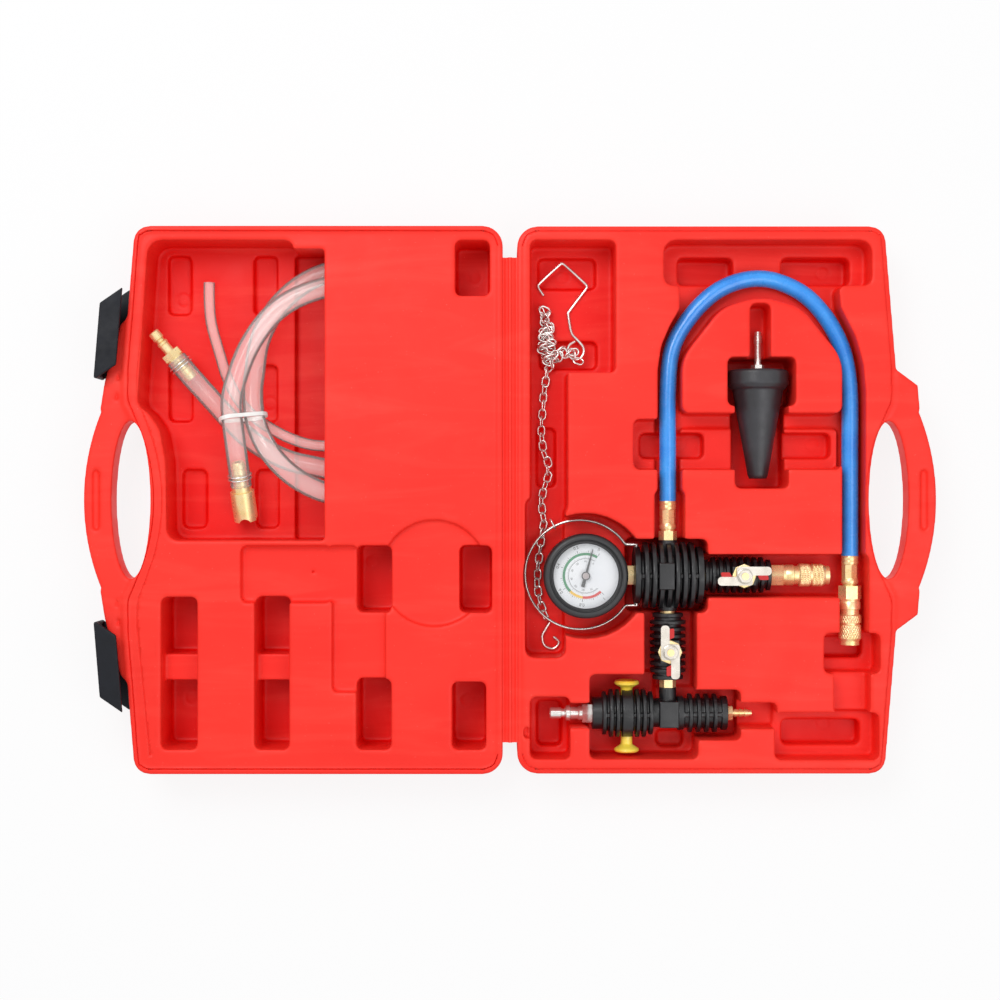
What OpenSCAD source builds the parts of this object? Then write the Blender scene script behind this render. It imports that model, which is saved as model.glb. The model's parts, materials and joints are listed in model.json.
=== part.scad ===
/* [Case] */
// Height of each case half, from the floor to the plane where the rims meet
half_h = 46; // [44:0.5:60]
// Length of the case along the hinge
case_len = 378.5; // [374:0.5:420]
// Distance from the hinge line to the inner edge of each half
hinge_gap = 5; // [4.5:0.25:8]
// Distance from the hinge line to the outer edge at the corners
side_corner = 259; // [256:0.5:264]
// Distance from the hinge line to the outer edge beside the handle
side_latch = 267; // [265:0.5:272]
// How far the handle stands out from the case side
handle_out = 27.5; // [24:0.5:40]
// Height of the handle's own section below the rim
handle_h = 20; // [14:0.5:30]
// Length of the finger hole in the handle
grip_len = 109.5; // [100:0.5:116]
// Width of the handle's bar
grip_bar = 19; // [18:0.5:28]
// Thickness of the outer skin under the deepest pockets
skin = 4; // [2.5:0.25:5]
// Thickness of the panel over the hose space in the lid
panel_t = 2.4; // [1.6:0.1:4]
// Corner radius of the pockets
pocket_r = 4; // [2:0.5:6]
// Width of the raised lip round the lid's rim
lip_w = 3.4; // [2.5:0.1:5]
// Height of that lip
lip_h = 1.2; // [0.8:0.1:2]
// Gap left between the closed rims
rim_gap = 0.3; // [0.2:0.05:0.6]
// Thickness of the living hinge
hinge_t = 1.2; // [0.8:0.1:2]
// Length of the living hinge
hinge_len = 335; // [300:1:340]

/* [Latches] */
// Length of each latch along the case side
latch_len = 53; // [46:0.5:56]
// Reach of each latch from the case side
latch_reach = 17.2; // [15.5:0.1:20]
// Wall of each latch
latch_wall = 2.5; // [2:0.1:3.5]
// Slope of the latch ends, along the case over the latch's reach
latch_slope = 12; // [8:0.5:14]
// Thickness of each half's latch flange
flange_t = 8; // [6:0.5:10]
// Travel of a latch between open and locked
latch_travel = 14; // [8:0.5:14]

/* [Manifold] */
// Distance from the hinge line to the manifold's port axis
tool_x = 110.5; // [108:0.25:114]
// Height of the tool's axis above the floor
tool_z = 29; // [28:0.25:30]
// Radius of the manifold's fins
cross_r = 23; // [20:0.25:23]
// Radius of the manifold's end collars
cross_end_r = 20; // [18:0.25:20]
// Length of the manifold
cross_len = 47.5; // [44:0.5:48]
// Radius of the manifold's side ports
port_r = 6.5; // [5.5:0.25:7.5]
// Radius of the passages in the tool
passage_r = 3; // [2:0.25:3.5]

/* [Gauge] */
// Distance from the hinge line to the gauge's centre
gauge_x = 52.4; // [51:0.25:54]
// Outer radius of the gauge boot
boot_r = 29.3; // [28:0.1:30]
// Height of the gauge boot
boot_h = 31; // [30:0.5:32]
// Thickness of the boot's side, round the gauge's steel cup
boot_wall = 3.3; // [2.8:0.1:4.5]
// Width of the boot's lip over the cup, round the visible dial
boot_lip = 3.1; // [2.5:0.1:6]
// Length of the needle in front of its pivot
needle_len = 19; // [14:0.5:20]
// Resting angle of the needle, clockwise from the top of the dial
needle_rest = 15; // [0:1:24]

/* [Valves] */
// Length of a valve body
valve_len = 46; // [44:0.5:47]
// Radius of a valve body's fins
valve_r = 12.5; // [11.5:0.1:13]
// Distance from a valve's inlet to its lever
valve_stem_at = 26; // [24:0.5:28]
// Radius of a valve's ball
ball_r = 7; // [6:0.1:7.5]
// Radius of a valve's stem
stem_r = 2.5; // [2:0.1:3]
// Thickness of a lever
lever_t = 1.6; // [1.2:0.1:2]
// Running clearance of the turning and sliding pieces
run_gap = 0.05; // [0.02:0.01:0.1]

/* [Couplers] */
// Outer radius of a coupler sleeve
sleeve_r = 8; // [7.5:0.1:9]
// Length of a coupler sleeve
sleeve_len = 18.5; // [16:0.5:19]
// Radius of the barrel inside a sleeve
barrel_r = 6.5; // [6.2:0.05:6.8]
// Radius of a coupler's socket
socket_r = 4; // [3.5:0.05:4.2]
// Depth of a coupler's socket
socket_depth = 22; // [18:0.5:24]

/* [Ejector] */
// Height of the ejector's axis along the case, from the middle
ejector_y = -149; // [-150:0.25:-148]
// Radius of the ejector's fins
ejector_r = 16.7; // [15:0.1:16.7]
// Length of the ejector's body
ejector_len = 42; // [40:0.5:43]
// Radius of the muffler's fins
muffler_r = 13.5; // [12:0.1:14]
// Length of the muffler
muffler_len = 34.5; // [30:0.5:36]
// Radius of the yellow spool
spool_r = 4; // [3.5:0.1:4.5]
// Radius of the spool's knobs
knob_r = 8.8; // [7:0.1:9]
// Radius of the air plug's nose
plug_r = 3.95; // [3.5:0.05:4]

/* [Hoses] */
// Outer diameter of the blue hose
blue_d = 11.8; // [10:0.1:12.5]
// Outer diameter of the thick clear hose
suction_d = 15; // [13:0.1:15]
// Outer diameter of the thin clear hose
drain_d = 8; // [6:0.1:8]
// Outer radius of the brass foot on the thick hose
foot_r = 8.4; // [8:0.1:9]
// Length of the brass foot
foot_len = 21; // [16:0.5:23]

/* [Chain and wire] */
// Outer length of a chain link
link_l = 8.4; // [8:0.1:9]
// Outer width of a chain link
link_w = 5.4; // [5:0.1:6]
// Wire diameter of the chain
link_d = 1.2; // [1:0.05:1.4]
// Wire diameter of the two hooks
hook_d = 2; // [1.6:0.1:2.2]
// Wire diameter of the bail
bail_d = 1.8; // [1.6:0.05:2]
// Radius of the bail's loop
bail_r = 38.4; // [37:0.1:39]

/* [Cone] */
// Distance from the hinge line to the cone's axis
cone_x = 174; // [172:0.25:176]
// Place of the cone's large end along the case
cone_top = 91; // [90:0.5:92]
// Radius of the cone's large end
cone_r = 21.5; // [19:0.25:21.75]
// Length of the rubber cone
cone_len = 76; // [70:0.5:78]
// Radius of the cone's small end
cone_tip_r = 6; // [5:0.25:7]

/* [Hidden] */
$fn = 48;

red = [0.90, 0.16, 0.13];
black = [0.11, 0.11, 0.12];
brass = [0.80, 0.62, 0.30];
nickel = [0.75, 0.75, 0.76];
blue = [0.10, 0.38, 0.85];
clear = [0.85, 0.80, 0.80];

// Small clearances
seat = 0.3;
play = 2.5;
touch = 0.05;
over = 5;

// Reach of the handle from the hinge line
handle_reach = side_latch + handle_out;

// Case levels
rim_z = half_h - rim_gap / 2;
cut_top = half_h + over;
bay_z = 10;
void_z = 3;
chain_z = 11.5;
rim_wall = 9.75;

// Case side, leaning out towards the handle
side_y = 92;
lean = atan((side_latch - side_corner) / (case_len / 2 - side_y));
grip_y = 66;
grip_w = 27.2;
grip_in = handle_reach - grip_bar - grip_w + 1.1;
handle_y = 64.5;
handle_bow = 13.5;

// Tool places that follow from the sizes above
tool_y = -52.5;
cross_x0 = tool_x - cross_len / 2 - 0.1;
cross_x1 = cross_x0 + cross_len;
port_top = tool_y + 24.5;
port_low = tool_y - 26.5;
hose_hex_top = port_top + 6.3;
ferrule_len = 21;
hose_y0 = hose_hex_top + ferrule_len;
valve_low_end = port_low - valve_len;
adapter_end = valve_low_end - 6;
nipple_gap = 1.6;
valve_x0 = cross_x1 + nipple_gap;
coupler_x = valve_x0 + valve_len;
block_half = 6.5;
neck_len = 4.5;
ejector_x0 = tool_x - block_half - neck_len - ejector_len;
spool_x = tool_x - 28.8;
muffler_x1 = tool_x + block_half + muffler_len;
ejector_port_r = 6;
plug_len = 29.5;
boot_z = 18;
gauge_top = boot_z + boot_h;
floor_cross = tool_z - cross_r - seat;
floor_valve = tool_z - valve_r - seat;
floor_ejector = tool_z - ejector_r - seat;
floor_hose = tool_z - blue_d / 2 - seat;
floor_gauge = boot_z - seat;
floor_coupler = tool_z - sleeve_r - seat;
cone_z = skin + seat + cone_r;
bail_x = cross_x0 + 2;
bail_z = floor_gauge + bail_d / 2 + seat;
bail_cx = gauge_x - 3.2;
bail_slope = (tool_z - bail_z) / (bail_x - bail_cx + bail_r);

// Blue hose route, from the manifold's ferrule to the far ferrule
blue_x2 = 238;
blue_end = -39;
blue_route = [
  [tool_x, hose_y0], [tool_x, hose_y0 + blue_d], [tool_x, 40], [tool_x, 75], [113.5, 105], [124.5, 126],
  [140.5, 143], [157, 152], [174, 155], [190, 152], [207, 143], [221, 128], [231, 110], [236, 92],
  [blue_x2, 70], [blue_x2, 30], [blue_x2, blue_end + blue_d], [blue_x2, blue_end]
];

// Thick clear hose route in the lid: in under the panel, two loops, and out to the foot
low = bay_z + suction_d / 2 + seat;
high = low + suction_d + seat + 0.3;
loop_a = [-107, 91];
loop_a_r = 73;
loop_b = [-107, 76];
loop_b_r = 74;
climb_from = 105;
climb_to = 30;
first_loop = [for (k = [0:20]) let (a = -110 + 14.5 * k, q = loop_a + loop_a_r * [cos(a), sin(a)])
  [q[0], q[1], a < 90 ? low : climb(q[1])]];
second_loop = [for (k = [0:18]) let (a = 180 + 15 * k, q = loop_b + loop_b_r * [cos(a), sin(a)])
  [q[0], q[1], a < 270 ? climb(q[1]) : high]];
tie_a = [-193.5, 57, high + 2];
tie_b = second_loop[1];
foot_end = [-188.5, 10, high - 7];
foot_from = [-189.3, 18, high - 4.5];
suction_route = concat(
  [[-233.5, 98.5, low + 12], [-224, 87, low + 9.5], [-207.5, 67.5, low + 0.6], [-190, 48.5, low],
    [-174, 36.5, low], [-155, 27.5, low]],
  first_loop,
  second_loop,
  [[-131, 147.5, high], [-153, 139, high], [-169, 126, high], [-182.5, 106, high], [-191, 84, high + 0.4],
    [-194, 70, high + 1.4]],
  [tie_a, [-192, 44, high + 1.2], [-190.5, 30, high - 1.2], foot_from, foot_end]
);
tie_a_at = len(suction_route) - 5;
tie_b_at = 6 + len(first_loop) + 1;
suction_dir = unit(suction_route[1] - suction_route[0]);
foot_dir = unit(foot_end - foot_from);

// Thin clear hose: open end, under the bundle, then a small coil under the panel
thin_z = bay_z + drain_d / 2 + seat;
drain_coil = [-84, 85];
drain_coil_r = 33;
drain_turns = 2.5;
drain_pitch = drain_d + 0.8;
drain_in = 290;
drain_steps = 16;
drain_route = concat(
  lift([
    [-213, 154], [-213, 142], [-211.5, 125], [-206, 105], [-200, 86], [-192, 71], [-182, 59.5], [-169, 50.5],
    [-155, 43.5], [-140, 39], [-123, 38.5], [-106, 41.5], [-89, 47]
  ], thin_z),
  [for (k = [0:drain_turns * drain_steps])
    let (a = drain_in + k * 360 / drain_steps)
    [drain_coil[0] + drain_coil_r * cos(a), drain_coil[1] + drain_coil_r * sin(a),
      thin_z + drain_pitch * k / drain_steps]]
);

// Chain routes: from the hook through a loose pile, down its channel to the bail, and on to the small hook
lie = chain_z + link_w / 2 + seat;
bay_end = case_len / 2 - rim_wall;
bay_y = bay_end - 91.5;
hook_z = chain_z + hook_d / 2 + seat;
chain_pitch = link_l - 2 * link_d - 0.2;
chain_roll = 70;
chain_join = [24.5, -15, lie];
chain_route = concat(
  [[42.8, bay_y + 18, hook_z - 0.4]],
  lift([
    [36, bay_y + 18.5], [29, bay_y + 21], [27.5, bay_y + 27], [32, bay_y + 31.5], [36, bay_y + 36],
    [35, bay_y + 41.5],
    [30, bay_y + 44], [24, bay_y + 41.5], [20.5, bay_y + 34], [19.5, bay_y + 25], [20.5, bay_y + 16.5],
    [26, bay_y + 10], [27.5, bay_y], [25.5, bay_y - 16], [25, 58], [24.5, 46], [25, 33], [27, 18],
    [27.5, 4], [26, -7]
  ], lie),
  [chain_join]
);
short_route = concat(
  [chain_join],
  lift([[22.5, -26], [21, -38], [19.5, -52], [20, -66], [22.5, -76], [26, -84]], lie)
);
hook_route = concat(
  lift([
    [24, bay_y + 57], [21.3, bay_y + 61], [20.2, bay_y + 63.5], [21.8, bay_y + 66.2], [35.2, bay_y + 78.6],
    [37.3, bay_y + 79.6], [39.4, bay_y + 78.4], [53, bay_y + 66], [54.6, bay_y + 63.6], [53.6, bay_y + 61],
    [42.4, bay_y + 46.2], [41.6, bay_y + 43.6], [42, bay_y + 40], [44.2, bay_y + 31], [50.4, bay_y + 23],
    [53, bay_y + 17], [48, bay_y + 12], [42, bay_y + 15], [42.5, bay_y + 21]
  ], hook_z),
  [[47, bay_y + 23, hook_z + 2.4]]
);
s_route = [
  [28.5, -87, hook_z], [25.5, -91.5, hook_z], [23, -97, hook_z], [25, -103.5, hook_z], [31, -105.5, hook_z],
  [35, -101, hook_z], [31, -97, hook_z]
];
bail_link_at = 118;

function unit(v) = v / norm(v);

// Height of the thick hose where it climbs from its first loop to its second
function climb(y) =
  let (t = min(1, max(0, (climb_from - y) / (climb_from - climb_to))))
  low + (high - low) * t * t * (3 - 2 * t);

// Points of the arc that rounds the corner q between p and r
function corner_arc(p, q, r, rad) =
  rad <= 0 ? [q] :
  let (
    u = unit(p - q), w = unit(r - q),
    half = acos(u * w) / 2,
    c = q + unit(u + w) * rad / sin(half),
    a = q + u * rad / tan(half) - c,
    b = q + w * rad / tan(half) - c,
    a0 = atan2(a[1], a[0]),
    turn = (atan2(b[1], b[0]) - a0 + 540) % 360 - 180,
    n = max(2, ceil(abs(turn) / (rad > 12 ? 9 : 22.5)))
  )
  [for (k = [0:n]) c + rad * [cos(a0 + turn * k / n), sin(a0 + turn * k / n)]];

// Outline from corners given as [x, y, radius]
function rounded(c) =
  let (n = len(c))
  [for (i = [0:n - 1]) each corner_arc(flat(c[(i + n - 1) % n]), flat(c[i]), flat(c[(i + 1) % n]), c[i][2])];
function flat(v) = [v[0], v[1]];

// The same corners moved inwards by d, for a counter-clockwise outline
function inset(c, d) =
  let (n = len(c))
  [for (i = [0:n - 1])
    let (
      p = flat(c[(i + n - 1) % n]), q = flat(c[i]), r = flat(c[(i + 1) % n]),
      e = unit(q - p), f = unit(r - q),
      m = [-e[1] - f[1], e[0] + f[0]] / (1 + e * f),
      bend = e[0] * f[1] - e[1] * f[0],
      s = q + m * d
    )
    [s[0], s[1], c[i][2] <= 0 ? 0 : max(0.5, c[i][2] - sign(bend) * d)]];

function box_corners(x0, x1, y0, y1, r) = [[x0, y0, r], [x1, y0, r], [x1, y1, r], [x0, y1, r]];

// Points of an arc from p to q that bulges to the left of that line by sag
function bow(p, q, sag, n) =
  let (
    h = norm(q - p) / 2, e = unit(q - p), left = [-e[1], e[0]],
    r = (h * h + sag * sag) / (2 * sag),
    c = (p + q) / 2 - left * (r - sag),
    half = asin(h / r)
  )
  [for (k = [0:n]) let (a = half * (1 - 2 * k / n)) c + r * (left * cos(a) - e * sin(a))];

// Smooth curve through a route's points
function curve(p, n) =
  [for (i = [0:len(p) - 2])
    let (a = p[max(0, i - 1)], b = p[i], c = p[i + 1], d = p[min(len(p) - 1, i + 2)])
    each [for (k = [0:n - 1]) let (t = k / n)
      b + 0.5 * t * ((c - a) + t * ((2 * a - 5 * b + 4 * c - d) + t * (3 * (b - c) + d - a)))],
    p[len(p) - 1]];
function lift(p, z) = [for (q = p) [q[0], q[1], z]];
function along(p, i) = unit(p[min(len(p) - 1, i + 1)] - p[max(0, i - 1)]);

// Point at distance s along a list of points
function walk(p, s, i = 0) =
  i >= len(p) - 1 ? p[len(p) - 1] :
  let (d = norm(p[i + 1] - p[i]))
  s <= d ? p[i] + (p[i + 1] - p[i]) * s / d : walk(p, s - d, i + 1);
function length(p) = [for (i = [0:len(p) - 2]) norm(p[i + 1] - p[i])] * [for (i = [0:len(p) - 2]) 1];

// Ring of points round a route at point i
function ring(p, i, r, sides) =
  let (
    t = along(p, i),
    u = unit(cross(abs(t[2]) > 0.8 ? [1, 0, 0] : [0, 0, 1], t)), v = cross(t, u)
  )
  [for (k = [0:sides - 1]) let (a = 360 * (k + 0.5) / sides) p[i] + r * (u * cos(a) + v * sin(a))];

// Least gap between parts of one tube that are further apart along it than the given steps
function self_gap(p, r, apart) =
  min([for (i = [0:len(p) - 1]) for (j = [i + apart:1:len(p) - 1]) norm(p[i] - p[j])]) - 2 * r;

module tube(p, r, sides) {
  n = len(p);
  rings = [for (i = [0:n - 1]) each ring(p, i, r, sides)];
  walls = [for (i = [0:n - 2]) for (k = [0:sides - 1])
    let (a = i * sides + k, b = i * sides + (k + 1) % sides)
    each [[a, b, b + sides], [a, b + sides, a + sides]]];
  caps = [for (k = [1:sides - 2])
    let (z = (n - 1) * sides)
    each [[0, k + 1, k], [z, z + k, z + k + 1]]];
  polyhedron(concat(rings, [p[0], p[n - 1]]), [for (f = concat(walls, caps)) [f[2], f[1], f[0]]]);
}

module slab(points, z0, z1) {
  translate([0, 0, z0]) linear_extrude(z1 - z0) polygon(points);
}
module pocket(x0, x1, y0, y1, floor, r = pocket_r) {
  slab(rounded(box_corners(x0, x1, y0, y1, r)), floor, cut_top);
}
module along_x() {
  rotate([0, 90, 0]) children();
}
module along_y() {
  rotate([-90, 0, 0]) children();
}
module facing(d) {
  rotate([0, acos(d[2]), atan2(d[1], d[0])]) children();
}
module hex(flats, h) {
  cylinder(r = flats / sqrt(3), h = h, $fn = 6);
}

// Finned round body along Z: fins of width w at the given pitch over a core, between two end collars
module finned(h, r, core, pitch, w, end_r) {
  n = floor((h - w) / pitch);
  first = (h - n * pitch - w) / 2;
  cylinder(r = core, h = h);
  for (i = [1:n - 1]) translate([0, 0, first + i * pitch]) cylinder(r = r, h = w);
  cylinder(r = end_r, h = first + w);
  translate([0, 0, h - first - w]) cylinder(r = end_r, h = first + w);
}

// Outline of a case half, counter-clockwise, with the hollow beside the handle
tub = concat(
  [[hinge_gap, -case_len / 2, 14], [side_corner, -case_len / 2, 11], [side_latch, -side_y, 0]],
  [for (q = bow([side_latch, -grip_y], [side_latch, grip_y], side_latch - grip_in, 14)) [q[0], q[1], 0]],
  [[side_latch, side_y, 0], [side_corner, case_len / 2, 11], [hinge_gap, case_len / 2, 14]]
);
handle_edge = handle_reach - handle_bow;
handle_outline = concat(
  [[grip_in - 8, -handle_y]],
  bow([handle_edge, -handle_y], [handle_edge, handle_y], -handle_bow, 18),
  [[grip_in - 8, handle_y]]
);
grip_mid = handle_reach - grip_bar - grip_w / 2;
grip_hole = [for (a = [0:10:350]) [grip_mid + grip_w / 2 * cos(a), grip_len / 2 * sin(a)]];
flange_edge = latch_reach - latch_wall - 1;
base_flange = [[-8, -2], [0, -2], [flange_edge, -2 - latch_slope], [flange_edge, -31], [-8, -34]];
lid_flange = [[-8, 34.5], [0, 34.5], [4.5, 29], [flange_edge - 1.5, -11.5], [flange_edge, -31], [-8, -34]];

// Frame on the case side: x points out of the side and y away from the handle
module on_side(up) {
  mirror([0, up ? 0 : 1, 0]) translate([side_latch, side_y, 0]) rotate(lean) children();
}
module half(flange) {
  foot = 2.5;
  slab(rounded(inset(tub, foot)), 0, foot + touch);
  slab(rounded(tub), foot, rim_z);
  slab(handle_outline, half_h - handle_h, rim_z);
  for (up = [false, true]) on_side(up) slab(flange, half_h - flange_t, rim_z);
}
module rim_strip(width, z0, z1) {
  difference() {
    slab(rounded(tub), z0, z1);
    slab(rounded(inset(tub, width)), z0 - over, z1 + over);
  }
}
module handle_cuts(groove_x) {
  slab(grip_hole, -over, cut_top);
  slab(rounded(box_corners(groove_x - 2.5, groove_x + 2.5, -21, 21, 2.4)), rim_z - 3, cut_top);
}
module latch_grooves() {
  for (up = [false, true]) on_side(up) slab(rounded(box_corners(2, 4, -24, -5, 0.9)), rim_z - 3, cut_top);
}

// Hollows of the base that hold the tool, each from the size of what lies in it
module tool_hollows() {
  slab(
    [for (a = [0:10:350]) [gauge_x + (boot_r + 14) * cos(a), tool_y + (boot_r + 14) * sin(a)]],
    floor_gauge, cut_top
  );
  pocket(cross_x0 - 5, cross_x1 + play, tool_y - cross_r - play, tool_y + cross_r + play, floor_cross);
  pocket(cross_x1 - over, blue_x2, tool_y - valve_r - play, tool_y + valve_r + play, floor_valve);
  pocket(tool_x - valve_r - 5, tool_x + valve_r + 6, adapter_end - 2, tool_y, floor_valve);
  pocket(ejector_x0 - play, ejector_x0 + ejector_len + 3, ejector_y - 30, ejector_y + 28.5, floor_ejector);
  pocket(ejector_x0 + ejector_len - 10, tool_x + 19.5, ejector_y - 30, ejector_y, floor_ejector);
  pocket(tool_x - 6.5, tool_x + 12.5, ejector_y - 26, ejector_y - 14, skin + 1);
  pocket(ejector_x0, muffler_x1 + 8, ejector_y - 17, ejector_y + 18, tool_z - muffler_r - seat);
  pocket(muffler_x1, muffler_x1 + 33, ejector_y - 9, ejector_y + 9, tool_z - 8);
  pocket(ejector_x0 - 20, ejector_x0 + over, ejector_y - 8.5, ejector_y + 8.5, tool_z - 8);
  pocket(ejector_x0 - plug_len - 14, ejector_x0 - 16, ejector_y - 30, ejector_y + 13, tool_z - 14);
  pocket(ejector_x0 - plug_len - 9, ejector_x0 - 21, ejector_y - 25, ejector_y + 7, skin);
}
module hose_hollows() {
  gap = blue_d / 2 + play;
  difference() {
    slab(rounded([
      [tool_x - gap, 0, 1], [tool_x + gap, 0, 1], [tool_x + gap, 50, 3], [blue_x2 - gap, 50, 3],
      [blue_x2 - gap, -90, 3], [blue_x2 + gap - 1, -90, 3], [blue_x2 + gap - 0.5, 75, 10],
      [blue_x2 + 6.2, 94, 30],
      [blue_x2 + 0.8, 113.2, 30], [blue_x2 - 9.5, 133.2, 4], [blue_x2 - 11, 148, 4], [blue_x2 + 12, 148.5, 5],
      [blue_x2 + 12, bay_end, 8], [tool_x - 4, bay_end, 8], [tool_x - 4, 149, 6], [tool_x + 6.7, 147.4, 3],
      [tool_x + 6.7, 132, 3], [tool_x, 120.5, 20], [tool_x - 6, 106.5, 20], [tool_x - gap, 90, 20]
    ]), floor_hose, cut_top);
    slab(rounded([
      [tool_x + gap, 60, 5], [blue_x2 - gap, 60, 5], [blue_x2 - gap, 98, 30], [201, 133, 28],
      [174, 141, 36], [146, 133, 28], [tool_x + gap, 98, 30]
    ]), 0, cut_top);
  }
  pocket(tool_x - 10.5, tool_x + 10.5, tool_y, hose_y0 + 8, floor_hose - 2.3);
  pocket(blue_x2 - 10, blue_x2 + 10, -104, blue_end + 2, floor_coupler);
  pocket(118, 157, bay_end - 28.5, bay_end - 9, skin + 2);
  pocket(191, 239, bay_end - 28.5, bay_end - 9, skin + 2);
  pocket(tool_x - 25, blue_x2 - 9, 21, 56, 26);
  pocket(tool_x - 19.5, tool_x + 25.5, 29, 47, 14);
  pocket(blue_x2 - 50, blue_x2 - 13, 29, 47, 14);
  pocket(blue_x2 - 21, blue_x2 + 18, -120, -92, floor_coupler);
  pocket(blue_x2 - 20, blue_x2 + 10, -111, -96, skin + 6);
  pocket(blue_x2 - 14, blue_x2 + 11, -148, -116, 30);
  pocket(183, 255, case_len / -2 + rim_wall, -147, 24);
  pocket(191, 246, -172, -154, 10);
}
module cone_hollows() {
  pocket(cone_x - cone_r - 2, cone_x + cone_r + 2, cone_top - 26, cone_top + 8, skin);
  pocket(cone_x - cone_r + 3, cone_x + cone_r - 3, cone_top - cone_len - 7, cone_top - 20, skin + 3);
  pocket(cone_x - 8, cone_x + 6, cone_top, 136, cone_z - 5);
}
module chain_hollows() {
  pocket(14, 73, bay_y, bay_end, chain_z);
  pocket(20, 61, bay_end - 30, bay_end - 8, skin + 1);
  pocket(21, 62, bay_y + 4.5, bay_y + 24.5, skin + 1);
  pocket(14, 40, -10, bay_y + 12, chain_z, 6);
  pocket(10.5, 38.5, -109, 2, chain_z, 6);
  pocket(19, 32.5, 9, 51, chain_z - 4);
}
module base_case() color(red) difference() {
  half(base_flange);
  rim_strip(lip_w + 0.2, rim_z - lip_h - rim_gap, cut_top);
  handle_cuts(handle_reach - 8.5);
  tool_hollows();
  hose_hollows();
  cone_hollows();
  chain_hollows();
  slab(rounded([[9.5, -165, 2], [13.5, -165, 0.5], [13.5, -157, 0.5], [9.5, -157, 2]]), rim_z - 10, cut_top);
}

// Lid, modelled to the right of the hinge and then mirrored
window_x = 128.5;
skin_cut = 152.5;
bay_top = case_len / 2 - rim_wall;
bay_low = -28;
pocket_top = bay_low - 3.5;
gauge_clear = -9;
module hose_bay() {
  slab(rounded([
    [skin_cut - 3, bay_low, 4], [237, bay_low, 8], [237.8, 26, 30], [242, 49, 20], [249.5, 59.5, 8],
    [257.5, 66, 8],
    [250, bay_top, 10], [skin_cut - 3, bay_top, 6]
  ]), bay_z, cut_top);
  slab(rounded(box_corners(window_x, skin_cut, bay_low, bay_top - 6, 1)), bay_z, cut_top);
  slab(rounded([
    [16, gauge_clear, 4], [94, gauge_clear, 4], [94, bay_low, 4], [skin_cut, bay_low, 1],
    [skin_cut, bay_top - 6, 1], [41, bay_top - 6, 4], [41, 138, 2], [16, 138, 4]
  ]), void_z, rim_z - panel_t);
  for (x = [[226.5, 243], [165, 182]]) pocket(x[0], x[1], bay_top - 48, bay_top - 6, skin);
  for (x = [[225.5, 242.5], [165, 178.5]]) pocket(x[0], x[1], 55.5, 96, skin);
  for (x = [[215.5, 232.5], [164, 180.5]]) pocket(x[0], x[1], -20, 22, skin);
}
module lid_clearances() {
  pocket(123.5, 186, tool_y - 18.5, pocket_top, rim_z - 8);
  pocket(105, 126, tool_y - 18.5, pocket_top, rim_z - 8);
  pocket(82, 106, tool_y - 25.5, pocket_top, skin);
  pocket(86, 123, -133, tool_y - 16, rim_z - 7);
  slab([for (a = [0:10:350]) [gauge_x + 37 * cos(a), tool_y + 2 + 37 * sin(a)]], rim_z - 5, cut_top);
  pocket(82, 106, -172.5, -123.5, skin);
  pocket(12.5, 35, -78, pocket_top, skin);
  pocket(16.5, 40, -172.5, -125.5, skin);
  pocket(14, 38, 141, bay_top, skin);
  for (x = [[216, 241], [152.5, 176.5]]) difference() {
    pocket(x[0], x[1], -172.5, -67, skin);
    translate([x[0] - over, -125.5, 0]) cube([x[1] - x[0] + 2 * over, 18, half_h - 14]);
  }
  translate([136.5, -50, rim_z - 12]) cylinder(r = 1.4, h = 10, $fn = 10);
}
module lid_case() color(red) mirror([1, 0, 0]) difference() {
  union() {
    half(lid_flange);
    rim_strip(lip_w, rim_z - touch, rim_z + lip_h);
  }
  handle_cuts(handle_reach - 8.5);
  latch_grooves();
  hose_bay();
  lid_clearances();
}

// Thin strip between the halves, with a bead on the fold line
module living_hinge() color(red) {
  edge = hinge_gap - touch;
  bead = 1.5;
  difference() {
    translate([-edge, -hinge_len / 2, half_h - hinge_t - 1.6]) cube([2 * edge, hinge_len, hinge_t]);
    for (s = [-1, 1]) translate([s * (edge - 1.6) - 0.5, -hinge_len / 2 - 1, half_h - 2])
      cube([1, hinge_len + 2, 1]);
  }
  translate([0, -hinge_len / 2, half_h - 1.6]) along_y() cylinder(r = bead, h = hinge_len);
}

// Channel-shaped sliding latch, in the frame on the case side
module latch(up) color(black) mirror([1, 0, 0]) on_side(up) {
  plate = latch_wall;
  far = latch_reach;
  bottom = half_h - flange_t - seat - plate;
  top = half_h + flange_t + seat + plate;
  y_at = [0.6, 0.6 - latch_slope];
  difference() {
    slab(rounded([
      [0.8, y_at[0] + 1.4, 1], [far, y_at[1], 1.2], [far, y_at[1] + latch_len, 1.2],
      [0.8, y_at[0] + 1.4 + latch_len, 1]
    ]), bottom, top);
    translate([-over, -latch_len, bottom + plate])
      cube([over + far - plate, 3 * latch_len, top - bottom - 2 * plate]);
    translate([-over, -latch_len, bottom + plate]) cube([over + 2.7, 3 * latch_len, top]);
  }
}
module latch_upper() latch(true);
module latch_lower() latch(false);

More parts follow.
